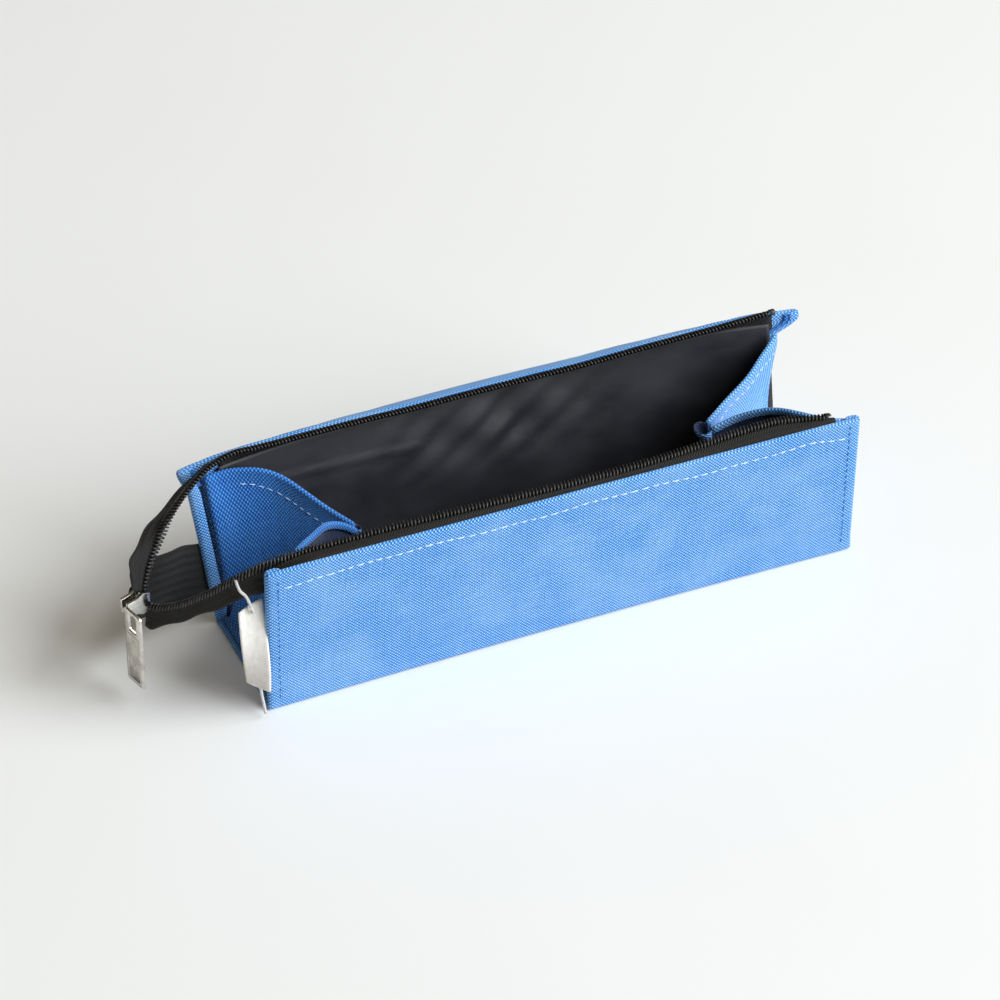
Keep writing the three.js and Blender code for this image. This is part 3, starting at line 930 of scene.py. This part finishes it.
def tape_grid(side):
    """The middle surface of one tape, from its right end to the slider: stations by lines, the
    last line being the one that carries the coil."""
    wall = WALLS[side]
    start, stop = ZIP_SPANS[side]
    x = np.linspace(stop + TAPE_PAST_COIL[side], start, 110) * MM
    top = wall.top(x)
    reach = read_table(wall.tape_reach, x) * MM
    share = np.linspace(0, 1, TAPE_LINES)
    edge_u = top + 1.2 * MM + reach
    width = case_sizes().tape_width
    u = (edge_u - width)[:, None] + width * share[None]
    on_wall = wall.point(np.repeat(x[:, None], TAPE_LINES, axis=1), u, -0.3 * MM)
    coil, free = mm(RUNS[side]["coil"]), mm(RUNS[side]["free"])
    stations = free[:, None] * (1 - share[None, :, None]) + coil[:, None] * share[None, :, None]
    lines = []
    for k in range(TAPE_LINES):
        through = np.vstack([on_wall[-9:-1:4, k], on_wall[-1:, k], stations[:, k]])
        lines.append(smooth_through(through, RUN_STATIONS))
    run = np.stack(lines, axis=1)
    waver = np.sin(np.linspace(0, 1, RUN_STATIONS) * 30)[:, None] * (1 - share)[None] ** 2 * 0.5 * MM
    run[..., 2] += waver * ease(np.linspace(0, 4, RUN_STATIONS))[:, None]
    return np.vstack([on_wall[:-9], run])


def zip_tape(side):
    sizes = case_sizes()
    grid = tape_grid(side)
    work = Patchwork()
    add_sheet(work, grid[::-1] if side == FRONT else grid, sizes.tape_thickness)
    piece = work.make(f"{side}_tape", [tape()])
    sewn(piece, nodes=[f"{side}_zip_tape", f"{side}_tape_run"])
    leave_wall(piece)
    return piece


def leave_wall(piece):
    """Bakes the piece's place into its mesh."""
    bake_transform(piece)


def coil_path(side):
    """The coil's middle line, and which way is out of the tape and off its edge."""
    grid = tape_grid(side)
    edge = grid[:, -1]
    off = unit(edge - grid[:, -3])
    heading = unit(np.gradient(edge, axis=0))
    normal = unit(np.cross(off, heading))
    if np.dot(normal[50], UP) < 0:
        normal = -normal
    keep = edge[:, 0] < (ZIP_SPANS[side][1]) * MM
    centre = edge - off * 0.35 * MM + normal * 0.75 * MM
    return centre[keep], normal[keep], off[keep]


def add_coil(work, path, normal, off, pitch, high, wide, wire):
    """A zip coil: one filament wound round the tape's edge."""
    run = run_along(path)
    per_turn = 12
    turns = int(run[-1] / pitch)
    at = np.linspace(0, turns * pitch, turns * per_turn + 1)
    centre = read_line(at, run, path)
    lift = unit(read_line(at, run, normal))
    side = unit(read_line(at, run, off))
    phase = (at / pitch) * 2 * np.pi
    wound = centre + lift * (np.sin(phase) * high)[:, None] + side * (np.cos(phase) * wide)[:, None]
    outwards = unit(lift * np.sin(phase)[:, None] + side * np.cos(phase)[:, None])
    add_tube(work, wound, wire, sides=6, normal_hint=outwards)


def zip_coil(side):
    sizes = case_sizes()
    work = Patchwork()
    path, normal, off = coil_path(side)
    add_coil(work, path, normal, off, sizes.coil_pitch, 0.62 * MM, 1.3 * MM, sizes.coil_wire)
    add_tube(work, path - off * 0.2 * MM, 0.5 * MM, sides=6, finish=1)
    piece = work.make(f"{side}_coil", [coil_nylon(), tape()])
    sewn(piece, nodes=[f"{side}_zip_coil"])
    leave_wall(piece)
    return piece


def zip_stop(side):
    """The bent clip at the coil's right end, black like the coil."""
    path, normal, off = coil_path(side)
    centre, heading = path[0], unit(path[0] - path[2])
    middle = centre + heading * 1.2 * MM
    ring = []
    for turn in np.linspace(-2.5, 2.5, 15):
        ring.append(middle + normal[0] * math.sin(turn) * 0.95 * MM + off[0] * math.cos(turn) * 1.2 * MM)
    ring = np.array(ring)
    grid = np.stack([ring - heading * 0.9 * MM, ring - heading * 0.6 * MM, ring + heading * 0.6 * MM,
                     ring + heading * 0.9 * MM])
    work = Patchwork()
    add_sheet(work, grid, 0.4 * MM)
    piece = work.make(f"{side}_stop", [coil_nylon()])
    sewn(piece, f"{side}_wall", [f"{side}_top_stop"])
    return piece


def zip_tail():
    """Both tapes, closed on each other, from behind the slider back to the rear side seam."""
    count = 60
    top = smooth_through(mm(TAIL["top"]), count)
    bottom = smooth_through(mm(TAIL["bottom"]), count)
    share = np.linspace(0, 1, 17)[None, :, None]
    points = top[:, None] * (1 - share) + bottom[:, None] * share
    heading = unit(np.gradient(points, axis=0))
    down = unit(bottom - top)[:, None]
    normal = unit(np.cross(heading, down))
    ripple = np.sin(np.linspace(0, 9, count))[:, None, None] * (share - 0.5) * 1.6 * MM
    points = points + normal * ripple
    work = Patchwork()
    add_sheet(work, points, 0.9 * MM)
    centre = points[:, 8] - normal[:, 8] * 0.9 * MM
    sizes = case_sizes()
    add_coil(work, centre, -normal[:, 8], down[:, 0], sizes.coil_pitch, 0.6 * MM, 1.9 * MM, sizes.coil_wire)
    piece = work.make("closed_tail", [tape()])
    sewn(piece, nodes=["zip_tail"])
    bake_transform(piece)
    return piece


# The slider, its pull and the tag


def bevelled(name, node, width, material):
    """A copy of a solid part with its edges rounded over."""
    mesh = frame["nodes"][node].data.copy()
    mesh.name = name
    piece = bpy.data.objects.new(name, mesh)
    bpy.context.scene.collection.objects.link(piece)
    weld = piece.modifiers.new("weld", "WELD")
    weld.merge_threshold = 0.001 * MM
    edge = piece.modifiers.new("edge", "BEVEL")
    edge.width = width
    edge.segments = 3
    edge.limit_method = "ANGLE"
    edge.angle_limit = math.radians(25)
    bpy.context.view_layer.update()
    solid = bpy.data.meshes.new_from_object(piece.evaluated_get(bpy.context.evaluated_depsgraph_get()))
    piece.modifiers.clear()
    piece.data = solid
    solid.materials.clear()
    solid.materials.append(material)
    solid.polygons.foreach_set("use_smooth", [True] * len(solid.polygons))
    solid.set_sharp_from_angle(angle=math.radians(40))
    return piece


def slider_parts():
    """The slider's two plates and the wedge between them, with the wire that carries the pull."""
    for name, node, width in (
        ("slider_face", "slider_top_plate", 0.4 * MM),
        ("slider_back", "slider_back_plate", 0.4 * MM),
        ("slider_nose", "slider_wedge", 0.3 * MM),
    ):
        piece = bevelled(name, node, width, nickel())
        sewn(piece, "slider", [node])
    low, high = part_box("slider_bridge")
    along = unit(np.array(JOINTS["slider_travel"]["axis"], float))
    out = np.array((along[1], -along[0], 0.0))
    plate_low, plate_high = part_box("slider_top_plate")
    middle = (np.array(low) + np.array(high)) / 2
    plate_middle = np.array((plate_low[0] + plate_high[0], plate_low[1] + plate_high[1], 0)) / 2
    foot = middle - out * np.dot(middle - plate_middle, out)
    foot[2] = middle[2]
    # The bow is only a few micrometres, so the wire runs all but straight along the plate.
    stand = 4.3 * MM
    path = []
    for a, b in (
        (-3.2, 0.2), (-4.4, 1.6), (-4.6, 3.2), (-3.4, 4.2), (-1.2, 4.2), (1.2, 3.5), (2.9, 1.8), (3.1, 0.2),
    ):
        path.append(foot + along * a * MM + out * (b * stand / 4.1) * MM)
    work = Patchwork()
    add_tube(work, smooth_through(path, 30), 0.62 * MM, sides=12)
    piece = work.make("slider_wire", [nickel()])
    sewn(piece, "slider", ["slider_bridge"])
    return piece


def closed_chain():
    """The stretch of closed zip inside the slider and just behind it."""
    travel = unit(np.array(JOINTS["slider_travel"]["axis"], float))
    low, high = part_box("slider_wedge")
    middle = (np.array(low) + np.array(high)) / 2
    path = smooth_through([middle + travel * s * MM for s in (-4.2, -2, 1, 4.4)], 24)
    normal = np.repeat(np.array([[travel[1], -travel[0], 0.0]]), 24, axis=0)
    off = np.repeat(UP[None], 24, axis=0)
    sizes = case_sizes()
    work = Patchwork()
    add_coil(work, path, normal, off, sizes.coil_pitch, 0.35 * MM, 2.1 * MM, sizes.coil_wire)
    piece = work.make("closed_chain", [coil_nylon()])
    sewn(piece, "base")
    return piece


def rounded_plate(half, low, high, radius):
    """The outline of a plate with rounded corners, anticlockwise."""
    corners = ((half - radius, low + radius, -90), (half - radius, high - radius, 0),
               (radius - half, high - radius, 90), (radius - half, low + radius, 180))
    ring = []
    for a, b, start in corners:
        for turn in np.radians(start + np.linspace(0, 90, 5)):
            ring.append((a + radius * math.cos(turn), b + radius * math.sin(turn)))
    return np.array(ring)


def pull_plate():
    """The pull: a slotted plate with a raised rim round a shallow panel."""
    low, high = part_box("pull_tab")
    half = (high[1] - low[1]) / 2
    along = unit(np.array(JOINTS["slider_travel"]["axis"], float))
    # Where the plate hangs, away from the frame's pull: back along the zip, and to one side.
    back, aside = 3.9, 1.4
    centre = np.array(((low[0] + high[0]) / 2, (low[1] + high[1]) / 2, 0)) - along * back * MM
    wide_axis = np.array((-along[1], along[0], 0.0))
    centre = centre + wide_axis * aside * MM
    half = min(half, 4.5 * MM)
    slot_high, slot_low = high[2] - 1.2 * MM, high[2] - 7.7 * MM
    work = Patchwork()
    thick = 0.55 * MM

    def spot(ring, out):
        return centre + wide_axis * ring[:, :1] + UP * ring[:, 1:] + along * out

    outline = rounded_plate(half, low[2], high[2], 1.3 * MM)
    inset = 0.35 * MM
    shoulder = rounded_plate(half - inset, low[2] + inset, high[2] - inset, 1.0 * MM)
    slot = rounded_plate(1.9 * MM, slot_low, slot_high, 0.6 * MM)
    slot_lip = rounded_plate(2.2 * MM, slot_low - 0.3 * MM, slot_high + 0.3 * MM, 0.8 * MM)
    front_half = [(slot, 0.5), (slot_lip, 1), (shoulder, 1), (outline, 0.5)]
    rings = [spot(ring, thick * share) for ring, share in front_half]
    rings += [spot(ring, -thick * share) for ring, share in reversed(front_half)]
    grid = np.stack(rings)
    rows, cols = grid.shape[:2]
    index = np.arange(rows * cols).reshape(rows, cols)
    below, beside = np.roll(index, -1, axis=0), np.roll(index, -1, axis=1)
    faces = np.stack([index, below, np.roll(below, -1, axis=1), beside], axis=-1).reshape(-1, 4)
    work.add(grid, faces)
    panel_top, panel_low = slot_low - 1.6 * MM, low[2] + 1.3 * MM
    for side in (1, -1):
        frame_ring = rounded_plate(half - 1.2 * MM, panel_low, panel_top, 0.7 * MM)
        inner_ring = rounded_plate(half - 1.7 * MM, panel_low + 0.5 * MM, panel_top - 0.5 * MM, 0.5 * MM)
        layers = [spot(frame_ring, side * thick * 0.98), spot(frame_ring, side * thick * 1.14),
                  spot(inner_ring, side * thick * 1.14), spot(inner_ring, side * thick * 0.98)]
        band = np.stack(layers)
        rows, cols = band.shape[:2]
        index = np.arange(rows * cols).reshape(rows, cols)
        beside = np.roll(index, -1, axis=1)
        faces = np.stack([index[:-1], beside[:-1], beside[1:], index[1:]], axis=-1).reshape(-1, 4)
        work.add(band, faces if side > 0 else faces[:, ::-1])
    piece = work.make("pull_plate", [nickel()])
    piece.data.set_sharp_from_angle(angle=math.radians(38))
    sewn(piece, "pull", ["pull_tab"])
    return piece


def tag_card():
    """The card, curled, and twisted more towards its lower edge."""
    sizes = case_sizes()
    low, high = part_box("swing_tag")
    x = np.linspace(low[0], high[0], 14)
    z = np.linspace(low[2], high[2], 30)
    grid_x, grid_z = np.meshgrid(x, z, indexing="ij")
    across = (grid_x - low[0]) / (high[0] - low[0])
    tall = (grid_z - low[2]) / (high[2] - low[2])
    middle_y = (low[1] + high[1]) / 2
    curl = 0.5 * MM * np.sin(np.pi * across) - 0.9 * MM * tall * (1 - tall)
    grid_z = grid_z + (1 - across) * 1.0 * MM * (1 - tall) + (across - 0.5) * 2.4 * MM * tall
    twist = math.radians(58) * (1 - tall) ** 1.3 - math.radians(8)
    wide = (across - 0.5) * (high[0] - low[0])
    top_aside, low_aside = np.array((2.2, -0.6)), np.array((2.6, -4.2))
    hang = top_aside * MM * tall[..., None] + low_aside * MM * (1 - tall)[..., None]
    centre_x = (low[0] + high[0]) / 2 + hang[..., 0]
    grid_z = grid_z + sizes.tag_lift
    points = np.stack([
        centre_x + wide * np.cos(twist) - curl * np.sin(twist),
        middle_y + hang[..., 1] - wide * np.sin(twist) + curl * np.cos(twist),
        grid_z,
    ], axis=-1)
    work = Patchwork()
    add_sheet(work, points, 0.5 * MM, edge_share=0.8)
    piece = work.make("tag_card", [paper()])
    sewn(piece, "tag", ["swing_tag"])
    return piece


def tag_string():
    """The thin moulded loop that holds the card, and comes out again below it."""
    x, y, z = JOINTS["tag_swing"]["pos_m"]
    card_low, card_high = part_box("swing_tag")
    loop_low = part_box("tag_loop")[0]
    strand = 1.2 * MM
    lift = case_sizes().tag_lift
    top, low = card_high[2] + lift, card_low[2] + lift
    path = smooth_through([
        (x - 1.2 * MM, y + 3.0 * MM, z + 2.2 * MM),
        (x - 1.0 * MM, y - 0.4 * MM, z),
        (x + 1.0 * MM, y - 1.0 * MM, top + 4 * MM),
        (x + 2.4 * MM, y - 1.9 * MM, top - 1.5 * MM),
        (x + 2.8 * MM, y - 0.4 * MM + strand, top - 4.5 * MM),
        (x + 2.9 * MM, y - 3.2 * MM + strand, low + 6 * MM),
        (x + 3.2 * MM, y - 4.6 * MM, low - 1.5 * MM),
        (x + 4.2 * MM, y - 5.0 * MM, loop_low[2] + 0.4 * MM),
    ], 60)
    work = Patchwork()
    add_tube(work, path, 0.5 * MM, sides=10)
    piece = work.make("tag_string", [plastic()])
    sewn(piece, "tag", ["tag_loop"])
    return piece


# Stitching


def add_stitches(work, line, normal, length, gap, radius, rng, finish=0):
    """A row of stitches along a line on the cloth. Each one rises out of it and dips back."""
    run = run_along(line)
    at = gap * 0.5
    while at + length < run[-1]:
        long = length * rng.uniform(0.8, 1.15)
        places = np.linspace(at, at + long, 7)
        spots = read_line(places, run, line)
        away = unit(read_line(places, run, normal))
        arch = np.sin(np.linspace(0, math.pi, 7)) * radius * 1.3 - radius * 0.7
        sway = np.cross(unit(np.gradient(spots, axis=0)), away) * rng.uniform(-0.35, 0.35) * radius
        width = radius * np.array((0.55, 0.9, 1.05, 1.1, 1.05, 0.9, 0.55)) * rng.uniform(0.85, 1.15)
        add_tube(work, spots + away * arch[:, None] + sway, width, sides=6, finish=finish, normal_hint=away)
        at += long + gap * rng.uniform(0.8, 1.3)


def wall_stitches(side):
    """Top and side rows on one wall."""
    rng = np.random.default_rng(7 if side == FRONT else 11)
    wall = WALLS[side]
    sizes = case_sizes()
    face = sizes.fold_radius + 0.02 * MM
    work = Patchwork()
    x = np.linspace(-97, 97, 300) * MM
    wander = 0.35 * MM * np.sin(x / (11 * MM)) + 0.2 * MM * np.sin(x / (4.1 * MM))
    ends_drop = ease((np.abs(x) - 84 * MM) / (12 * MM)) * 1.2 * MM
    u = wall.top(x) - sizes.top_stitch - ends_drop + wander
    line = wall.point(x, u, face)
    normal = wall.point(x, u, face + MM) - line
    add_stitches(work, line, normal, 2.9 * MM, 0.6 * MM, sizes.thread_radius, rng)
    for sign in (-1, 1):
        u = np.linspace(2.5 * MM, WALL_HEIGHT - 3 * MM, 120)
        edge = sign * (HALF * wall.stretch(sign * u, u) - sizes.side_stitch)
        line = wall.point(edge, u, face)
        normal = wall.point(edge, u, face + MM) - line
        add_stitches(work, line, normal, 1.7 * MM, 0.9 * MM, sizes.thread_radius * 0.8, rng, finish=1)
    piece = work.make(f"{side}_stitches", [thread(), seam_thread()])
    sewn(piece, f"{side}_wall")
    return piece


def gusset_stitches(end, side):
    """The hem row below a half's top edge."""
    rng = np.random.default_rng(23 + ENDS[end] + (2 if side == FRONT else 5))
    cloth = bpy.data.objects[f"{end}_{side}_fold_canvas"].data
    top = smooth_through(mm(TOP_EDGES[end, side]), 60)[6:-6]
    sizes = case_sizes()
    tree = surface_of(cloth)
    outside = np.array((ENDS[end] * 3 * MM, 0, 0))
    line, normal = [], []
    for spot in top:
        target = spot - UP * sizes.fold_stitch
        found, away = tree.find_nearest(target + outside)[:2]
        line.append(found)
        normal.append(away)
    work = Patchwork()
    add_stitches(work, np.array(line), np.array(normal), 2.0 * MM, 0.9 * MM, sizes.thread_radius * 0.8, rng)
    piece = work.make(f"{end}_{side}_fold_stitches", [thread()])
    sewn(piece)
    leave_seam(piece)
    return piece


def surface_of(mesh):
    """A search tree that finds the nearest spot on a mesh."""
    return BVHTree.FromPolygons([v.co for v in mesh.vertices], [tuple(p.vertices) for p in mesh.polygons])


# The stage

AIM = np.array((-5.62, 16.54, 25.0)) * MM
AZIMUTH, ELEVATION = math.radians(23.39), math.radians(38.38)
FOCAL_LENGTH, SENSOR_WIDTH = 166.5, 36.0
# In metres: where each soft light hangs and how wide it is, and half the floor's width.
WINDOW_SPOT, WINDOW_SIZE = (2.3, -1.87, 2.1), 3.3
CEILING_SPOT, CEILING_SIZE = (0.25, 0.3, 2.5), 2.6
FLOOR_HALF = 6.0


def camera_and_light():
    """The camera, the pale floor, the window light, the light overhead and the room's own light."""
    sizes, hues = case_sizes(), case_colours()
    scene = bpy.context.scene
    level = math.cos(ELEVATION)
    back_off = np.array((-math.sin(AZIMUTH) * level, -math.cos(AZIMUTH) * level, math.sin(ELEVATION)))
    lens = bpy.data.cameras.new("view")
    lens.lens = FOCAL_LENGTH
    lens.sensor_width = SENSOR_WIDTH
    lens.clip_start = 0.01
    camera = bpy.data.objects.new("view", lens)
    scene.collection.objects.link(camera)
    camera.location = AIM + back_off * sizes.view_distance
    camera.rotation_euler = (math.pi / 2 - ELEVATION, 0, -AZIMUTH)
    scene.camera = camera
    floor = bpy.data.meshes.new("studio_floor")
    corners = [(x * FLOOR_HALF, y * FLOOR_HALF, 0) for x, y in ((-1, -1), (1, -1), (1, 1), (-1, 1))]
    floor.from_pydata(corners, [], [(0, 1, 2, 3)])
    floor.materials.append(pale_floor())
    ground = bpy.data.objects.new("studio_floor", floor)
    scene.collection.objects.link(ground)
    add_lamp("window", WINDOW_SPOT, WINDOW_SIZE, sizes.window_power, hues.window)
    add_lamp("ceiling", CEILING_SPOT, CEILING_SIZE, sizes.fill_power, hues.fill)
    world = bpy.data.worlds.new("studio")
    world.use_nodes = True
    background = world.node_tree.nodes["Background"]
    background.inputs["Color"].default_value = opaque(hues.room)
    background.inputs["Strength"].default_value = sizes.room_strength
    scene.world = world
    scene.view_settings.view_transform = "Standard"
    scene.view_settings.look = "None"


def add_lamp(name, spot, size, power, hue):
    """A square soft light that faces the middle of the case."""
    lamp = bpy.data.lights.new(name, "AREA")
    lamp.shape = "SQUARE"
    lamp.size = size
    lamp.energy = power
    lamp.color = hue[:3]
    made = bpy.data.objects.new(name, lamp)
    bpy.context.scene.collection.objects.link(made)
    made.location = spot
    aim = -np.array(spot)
    yaw = math.atan2(aim[1], aim[0])
    pitch = math.atan2(-aim[2], math.hypot(aim[0], aim[1]))
    made.rotation_euler = (math.pi / 2 - pitch, 0, yaw - math.pi / 2)


# Settings


def length(name, description, default):
    return bpy.props.FloatProperty(
        name=name, description=description, default=default, min=0.0, unit="LENGTH", precision=5)


def colour(name, description, default):
    return bpy.props.FloatVectorProperty(
        name=name, description=description, default=default, size=3, min=0.0, max=1.0, subtype="COLOR")


class CaseSizes(bpy.types.PropertyGroup):
    """Sizes of the case's cloth, zip and thread, and of the stage"""

    canvas_thickness: length("Canvas thickness", "Thickness of the canvas", 0.75 * MM)
    tape_thickness: length("Tape thickness", "Thickness of the zip tape", 0.6 * MM)
    tape_width: length("Tape width", "Width of each zip tape", 11.5 * MM)
    fold_radius: length("Fold radius", "From a wall's hinge line out to its canvas", BASE_HIGH[2] / 2)
    edge_roll: length("Edge roll", "Radius of the rolled side edges", 1.15 * MM)
    hem: length("Hem", "Canvas turned down inside a wall's top edge", 6.5 * MM)
    top_stitch: length("Top stitch", "From a wall's top edge down to its stitch row", 5.4 * MM)
    side_stitch: length("Side stitch", "From a wall's side edge in to its stitch row", 3.6 * MM)
    fold_stitch: length("Fold stitch", "From a fold's top edge down to its stitch row", 4.4 * MM)
    weave_cell: length("Weave cell", "One crossing of the canvas threads", 0.6 * MM)
    coil_pitch: length("Coil pitch", "From one tooth of the coil to the next", 1.2 * MM)
    coil_wire: length("Coil wire", "Radius of the coil's filament", 0.34 * MM)
    thread_radius: length("Thread radius", "Radius of the pale sewing thread", 0.23 * MM)
    tag_lift: length("Tag lift", "How much shorter the tag's loop hangs than the frame's", 5.0 * MM)
    view_distance: length("View distance", "From the camera to the case", 1500 * MM)
    window_power: bpy.props.FloatProperty(
        name="Window", description="Power of the soft window light", default=242.0, unit="POWER")
    fill_power: bpy.props.FloatProperty(
        name="Ceiling", description="Power of the wide light overhead", default=11.0, unit="POWER")
    room_strength: bpy.props.FloatProperty(
        name="Room", description="Strength of the light from the room all round", default=0.11)


class CaseColours(bpy.types.PropertyGroup):
    """Colours of the case and the stage"""

    canvas_deep: colour("Canvas, low threads", "Blue between the raised threads", (0.004, 0.135, 0.5))
    canvas: colour("Canvas", "Blue of the canvas face", (0.045, 0.29, 0.74))
    # The pale thread tops are partly painted highlight.
    canvas_pale_and_highlight: colour("Canvas, high threads", "Blue on top of the threads", (0.46, 0.7, 0.95))
    # The canvas darkened with painted shade, for the left end and the turned-in strips; its pale thread tops
    # are partly painted highlight too.
    painted_shade_deep: colour("Left end, low threads", "Blue between the raised threads", (0.001, 0.07, 0.38))
    fold: colour("Left end", "Blue of the canvas face", (0.008, 0.16, 0.58))
    painted_shade_pale: colour("Left end, high threads", "Blue on top of the threads", (0.13, 0.4, 0.82))
    inside: colour("Canvas inside", "Dark navy inner side of the canvas", (0.004, 0.012, 0.05))
    inside_pale: colour("Canvas inside, raised", "Raised threads of the inner side", (0.01, 0.04, 0.14))
    lining: colour("Lining", "Black nylon", (0.011, 0.011, 0.015))
    lining_pale: colour("Lining, raised", "Nylon where it catches light", (0.02, 0.021, 0.027))
    tape: colour("Zip tape", "Black tape", (0.006, 0.0055, 0.005))
    tape_pale: colour("Zip tape, raised", "Tape ribs", (0.02, 0.018, 0.016))
    coil: colour("Coil", "Black nylon coil", (0.014, 0.013, 0.012))
    coil_pale: colour("Coil, scuffed", "Coil where it is scuffed", (0.06, 0.055, 0.05))
    nickel: colour("Nickel", "Polished plate", (0.74, 0.71, 0.66))
    nickel_dull: colour("Nickel, dull", "Plate where it is handled", (0.52, 0.5, 0.46))
    thread: colour("Thread", "Pale sewing thread", (0.42, 0.62, 0.9))
    thread_pale: colour("Thread, lit", "Top of the thread's twist", (0.72, 0.84, 0.97))
    paper: colour("Card", "Tag card", (0.88, 0.85, 0.8))
    paper_shade: colour("Card, shaded", "Fibres in the card", (0.78, 0.74, 0.68))
    plastic: colour("Plastic", "Clear moulded loop", (0.82, 0.86, 0.9))
    board: colour("Board", "Grey stiffener board", (0.42, 0.4, 0.36))
    floor: colour("Floor", "Pale floor", (0.9, 0.9, 0.885))
    floor_warm: colour("Floor, warm", "Warmer patches of the floor", (0.89, 0.885, 0.865))
    window: colour("Window", "Colour of the window light", (0.9, 0.95, 1.0))
    fill: colour("Ceiling", "Colour of the wide light overhead", (1.0, 0.92, 0.78))
    room: colour("Room", "Colour of the light from the room", (1.0, 0.86, 0.62))


# Operators


class CASE_OT_stage(bpy.types.Operator):
    """Set up the camera, the floor and the light"""

    bl_idname = "case.stage"
    bl_label = "Stage"
    bl_options = {"REGISTER", "UNDO"}

    def execute(self, context):
        camera_and_light()
        return {"FINISHED"}


class CASE_OT_base(bpy.types.Operator):
    """Sew the base's canvas and lining, and finish its board"""

    bl_idname = "case.base"
    bl_label = "Base"
    bl_options = {"REGISTER", "UNDO"}

    def execute(self, context):
        plate = frame["nodes"]["base_board"]
        plate.data.materials.clear()
        plate.data.materials.append(board())
        base_canvas()
        floor_lining()
        return {"FINISHED"}


class CASE_OT_walls(bpy.types.Operator):
    """Sew both long walls: canvas, stiffener and lining"""

    bl_idname = "case.walls"
    bl_label = "Walls"
    bl_options = {"REGISTER", "UNDO"}

    def execute(self, context):
        for side in SIDES:
            wall_canvas(side)
            stiffener(side)
            wall_lining(side)
        return {"FINISHED"}


class CASE_OT_ends(bpy.types.Operator):
    """Fold the two soft ends in"""

    bl_idname = "case.ends"
    bl_label = "Fold-in ends"
    bl_options = {"REGISTER", "UNDO"}

    def execute(self, context):
        for end in ENDS:
            gusset_half(end, FRONT)
            gusset_half(end, BACK)
            gusset_base(end)
            gusset_tip(end)
        return {"FINISHED"}


class CASE_OT_zip(bpy.types.Operator):
    """Make the zip's tapes, coils, stops and closed tail"""

    bl_idname = "case.zip"
    bl_label = "Zip"
    bl_options = {"REGISTER", "UNDO"}

    def execute(self, context):
        for side in SIDES:
            zip_tape(side)
            zip_coil(side)
            zip_stop(side)
        zip_tail()
        closed_chain()
        return {"FINISHED"}


class CASE_OT_slider(bpy.types.Operator):
    """Make the slider and its pull"""

    bl_idname = "case.slider"
    bl_label = "Slider and pull"
    bl_options = {"REGISTER", "UNDO"}

    def execute(self, context):
        slider_parts()
        pull_plate()
        return {"FINISHED"}


class CASE_OT_tag(bpy.types.Operator):
    """Hang the card tag on its plastic loop"""

    bl_idname = "case.tag"
    bl_label = "Tag"
    bl_options = {"REGISTER", "UNDO"}

    def execute(self, context):
        tag_card()
        tag_string()
        return {"FINISHED"}


class CASE_OT_stitches(bpy.types.Operator):
    """Sew the visible stitch rows"""

    bl_idname = "case.stitches"
    bl_label = "Stitches"
    bl_options = {"REGISTER", "UNDO"}

    def execute(self, context):
        for side in SIDES:
            wall_stitches(side)
        for end in ENDS:
            for side in SIDES:
                gusset_stitches(end, side)
        return {"FINISHED"}


OPERATORS = (
    CASE_OT_stage,
    CASE_OT_base,
    CASE_OT_walls,
    CASE_OT_ends,
    CASE_OT_zip,
    CASE_OT_slider,
    CASE_OT_tag,
    CASE_OT_stitches,
)


class CASE_PT_panel(bpy.types.Panel):
    bl_label = "Pencil case"
    bl_idname = "CASE_PT_panel"
    bl_space_type = "VIEW_3D"
    bl_region_type = "UI"
    bl_category = "Pencil case"

    def draw(self, context):
        column = self.layout.column()
        for operator in OPERATORS:
            column.operator(operator.bl_idname)


CLASSES = (CaseSizes, CaseColours, *OPERATORS, CASE_PT_panel)


def register():
    for item in CLASSES:
        bpy.utils.register_class(item)
    bpy.types.Scene.case_sizes = bpy.props.PointerProperty(type=CaseSizes)
    bpy.types.Scene.case_colours = bpy.props.PointerProperty(type=CaseColours)


def unregister():
    del bpy.types.Scene.case_colours
    del bpy.types.Scene.case_sizes
    for item in reversed(CLASSES):
        bpy.utils.unregister_class(item)


def main():
    register()
    for operator in OPERATORS:
        group, name = operator.bl_idname.split(".")
        getattr(getattr(bpy.ops, group), name)()


if __name__ == "__main__":
    main()
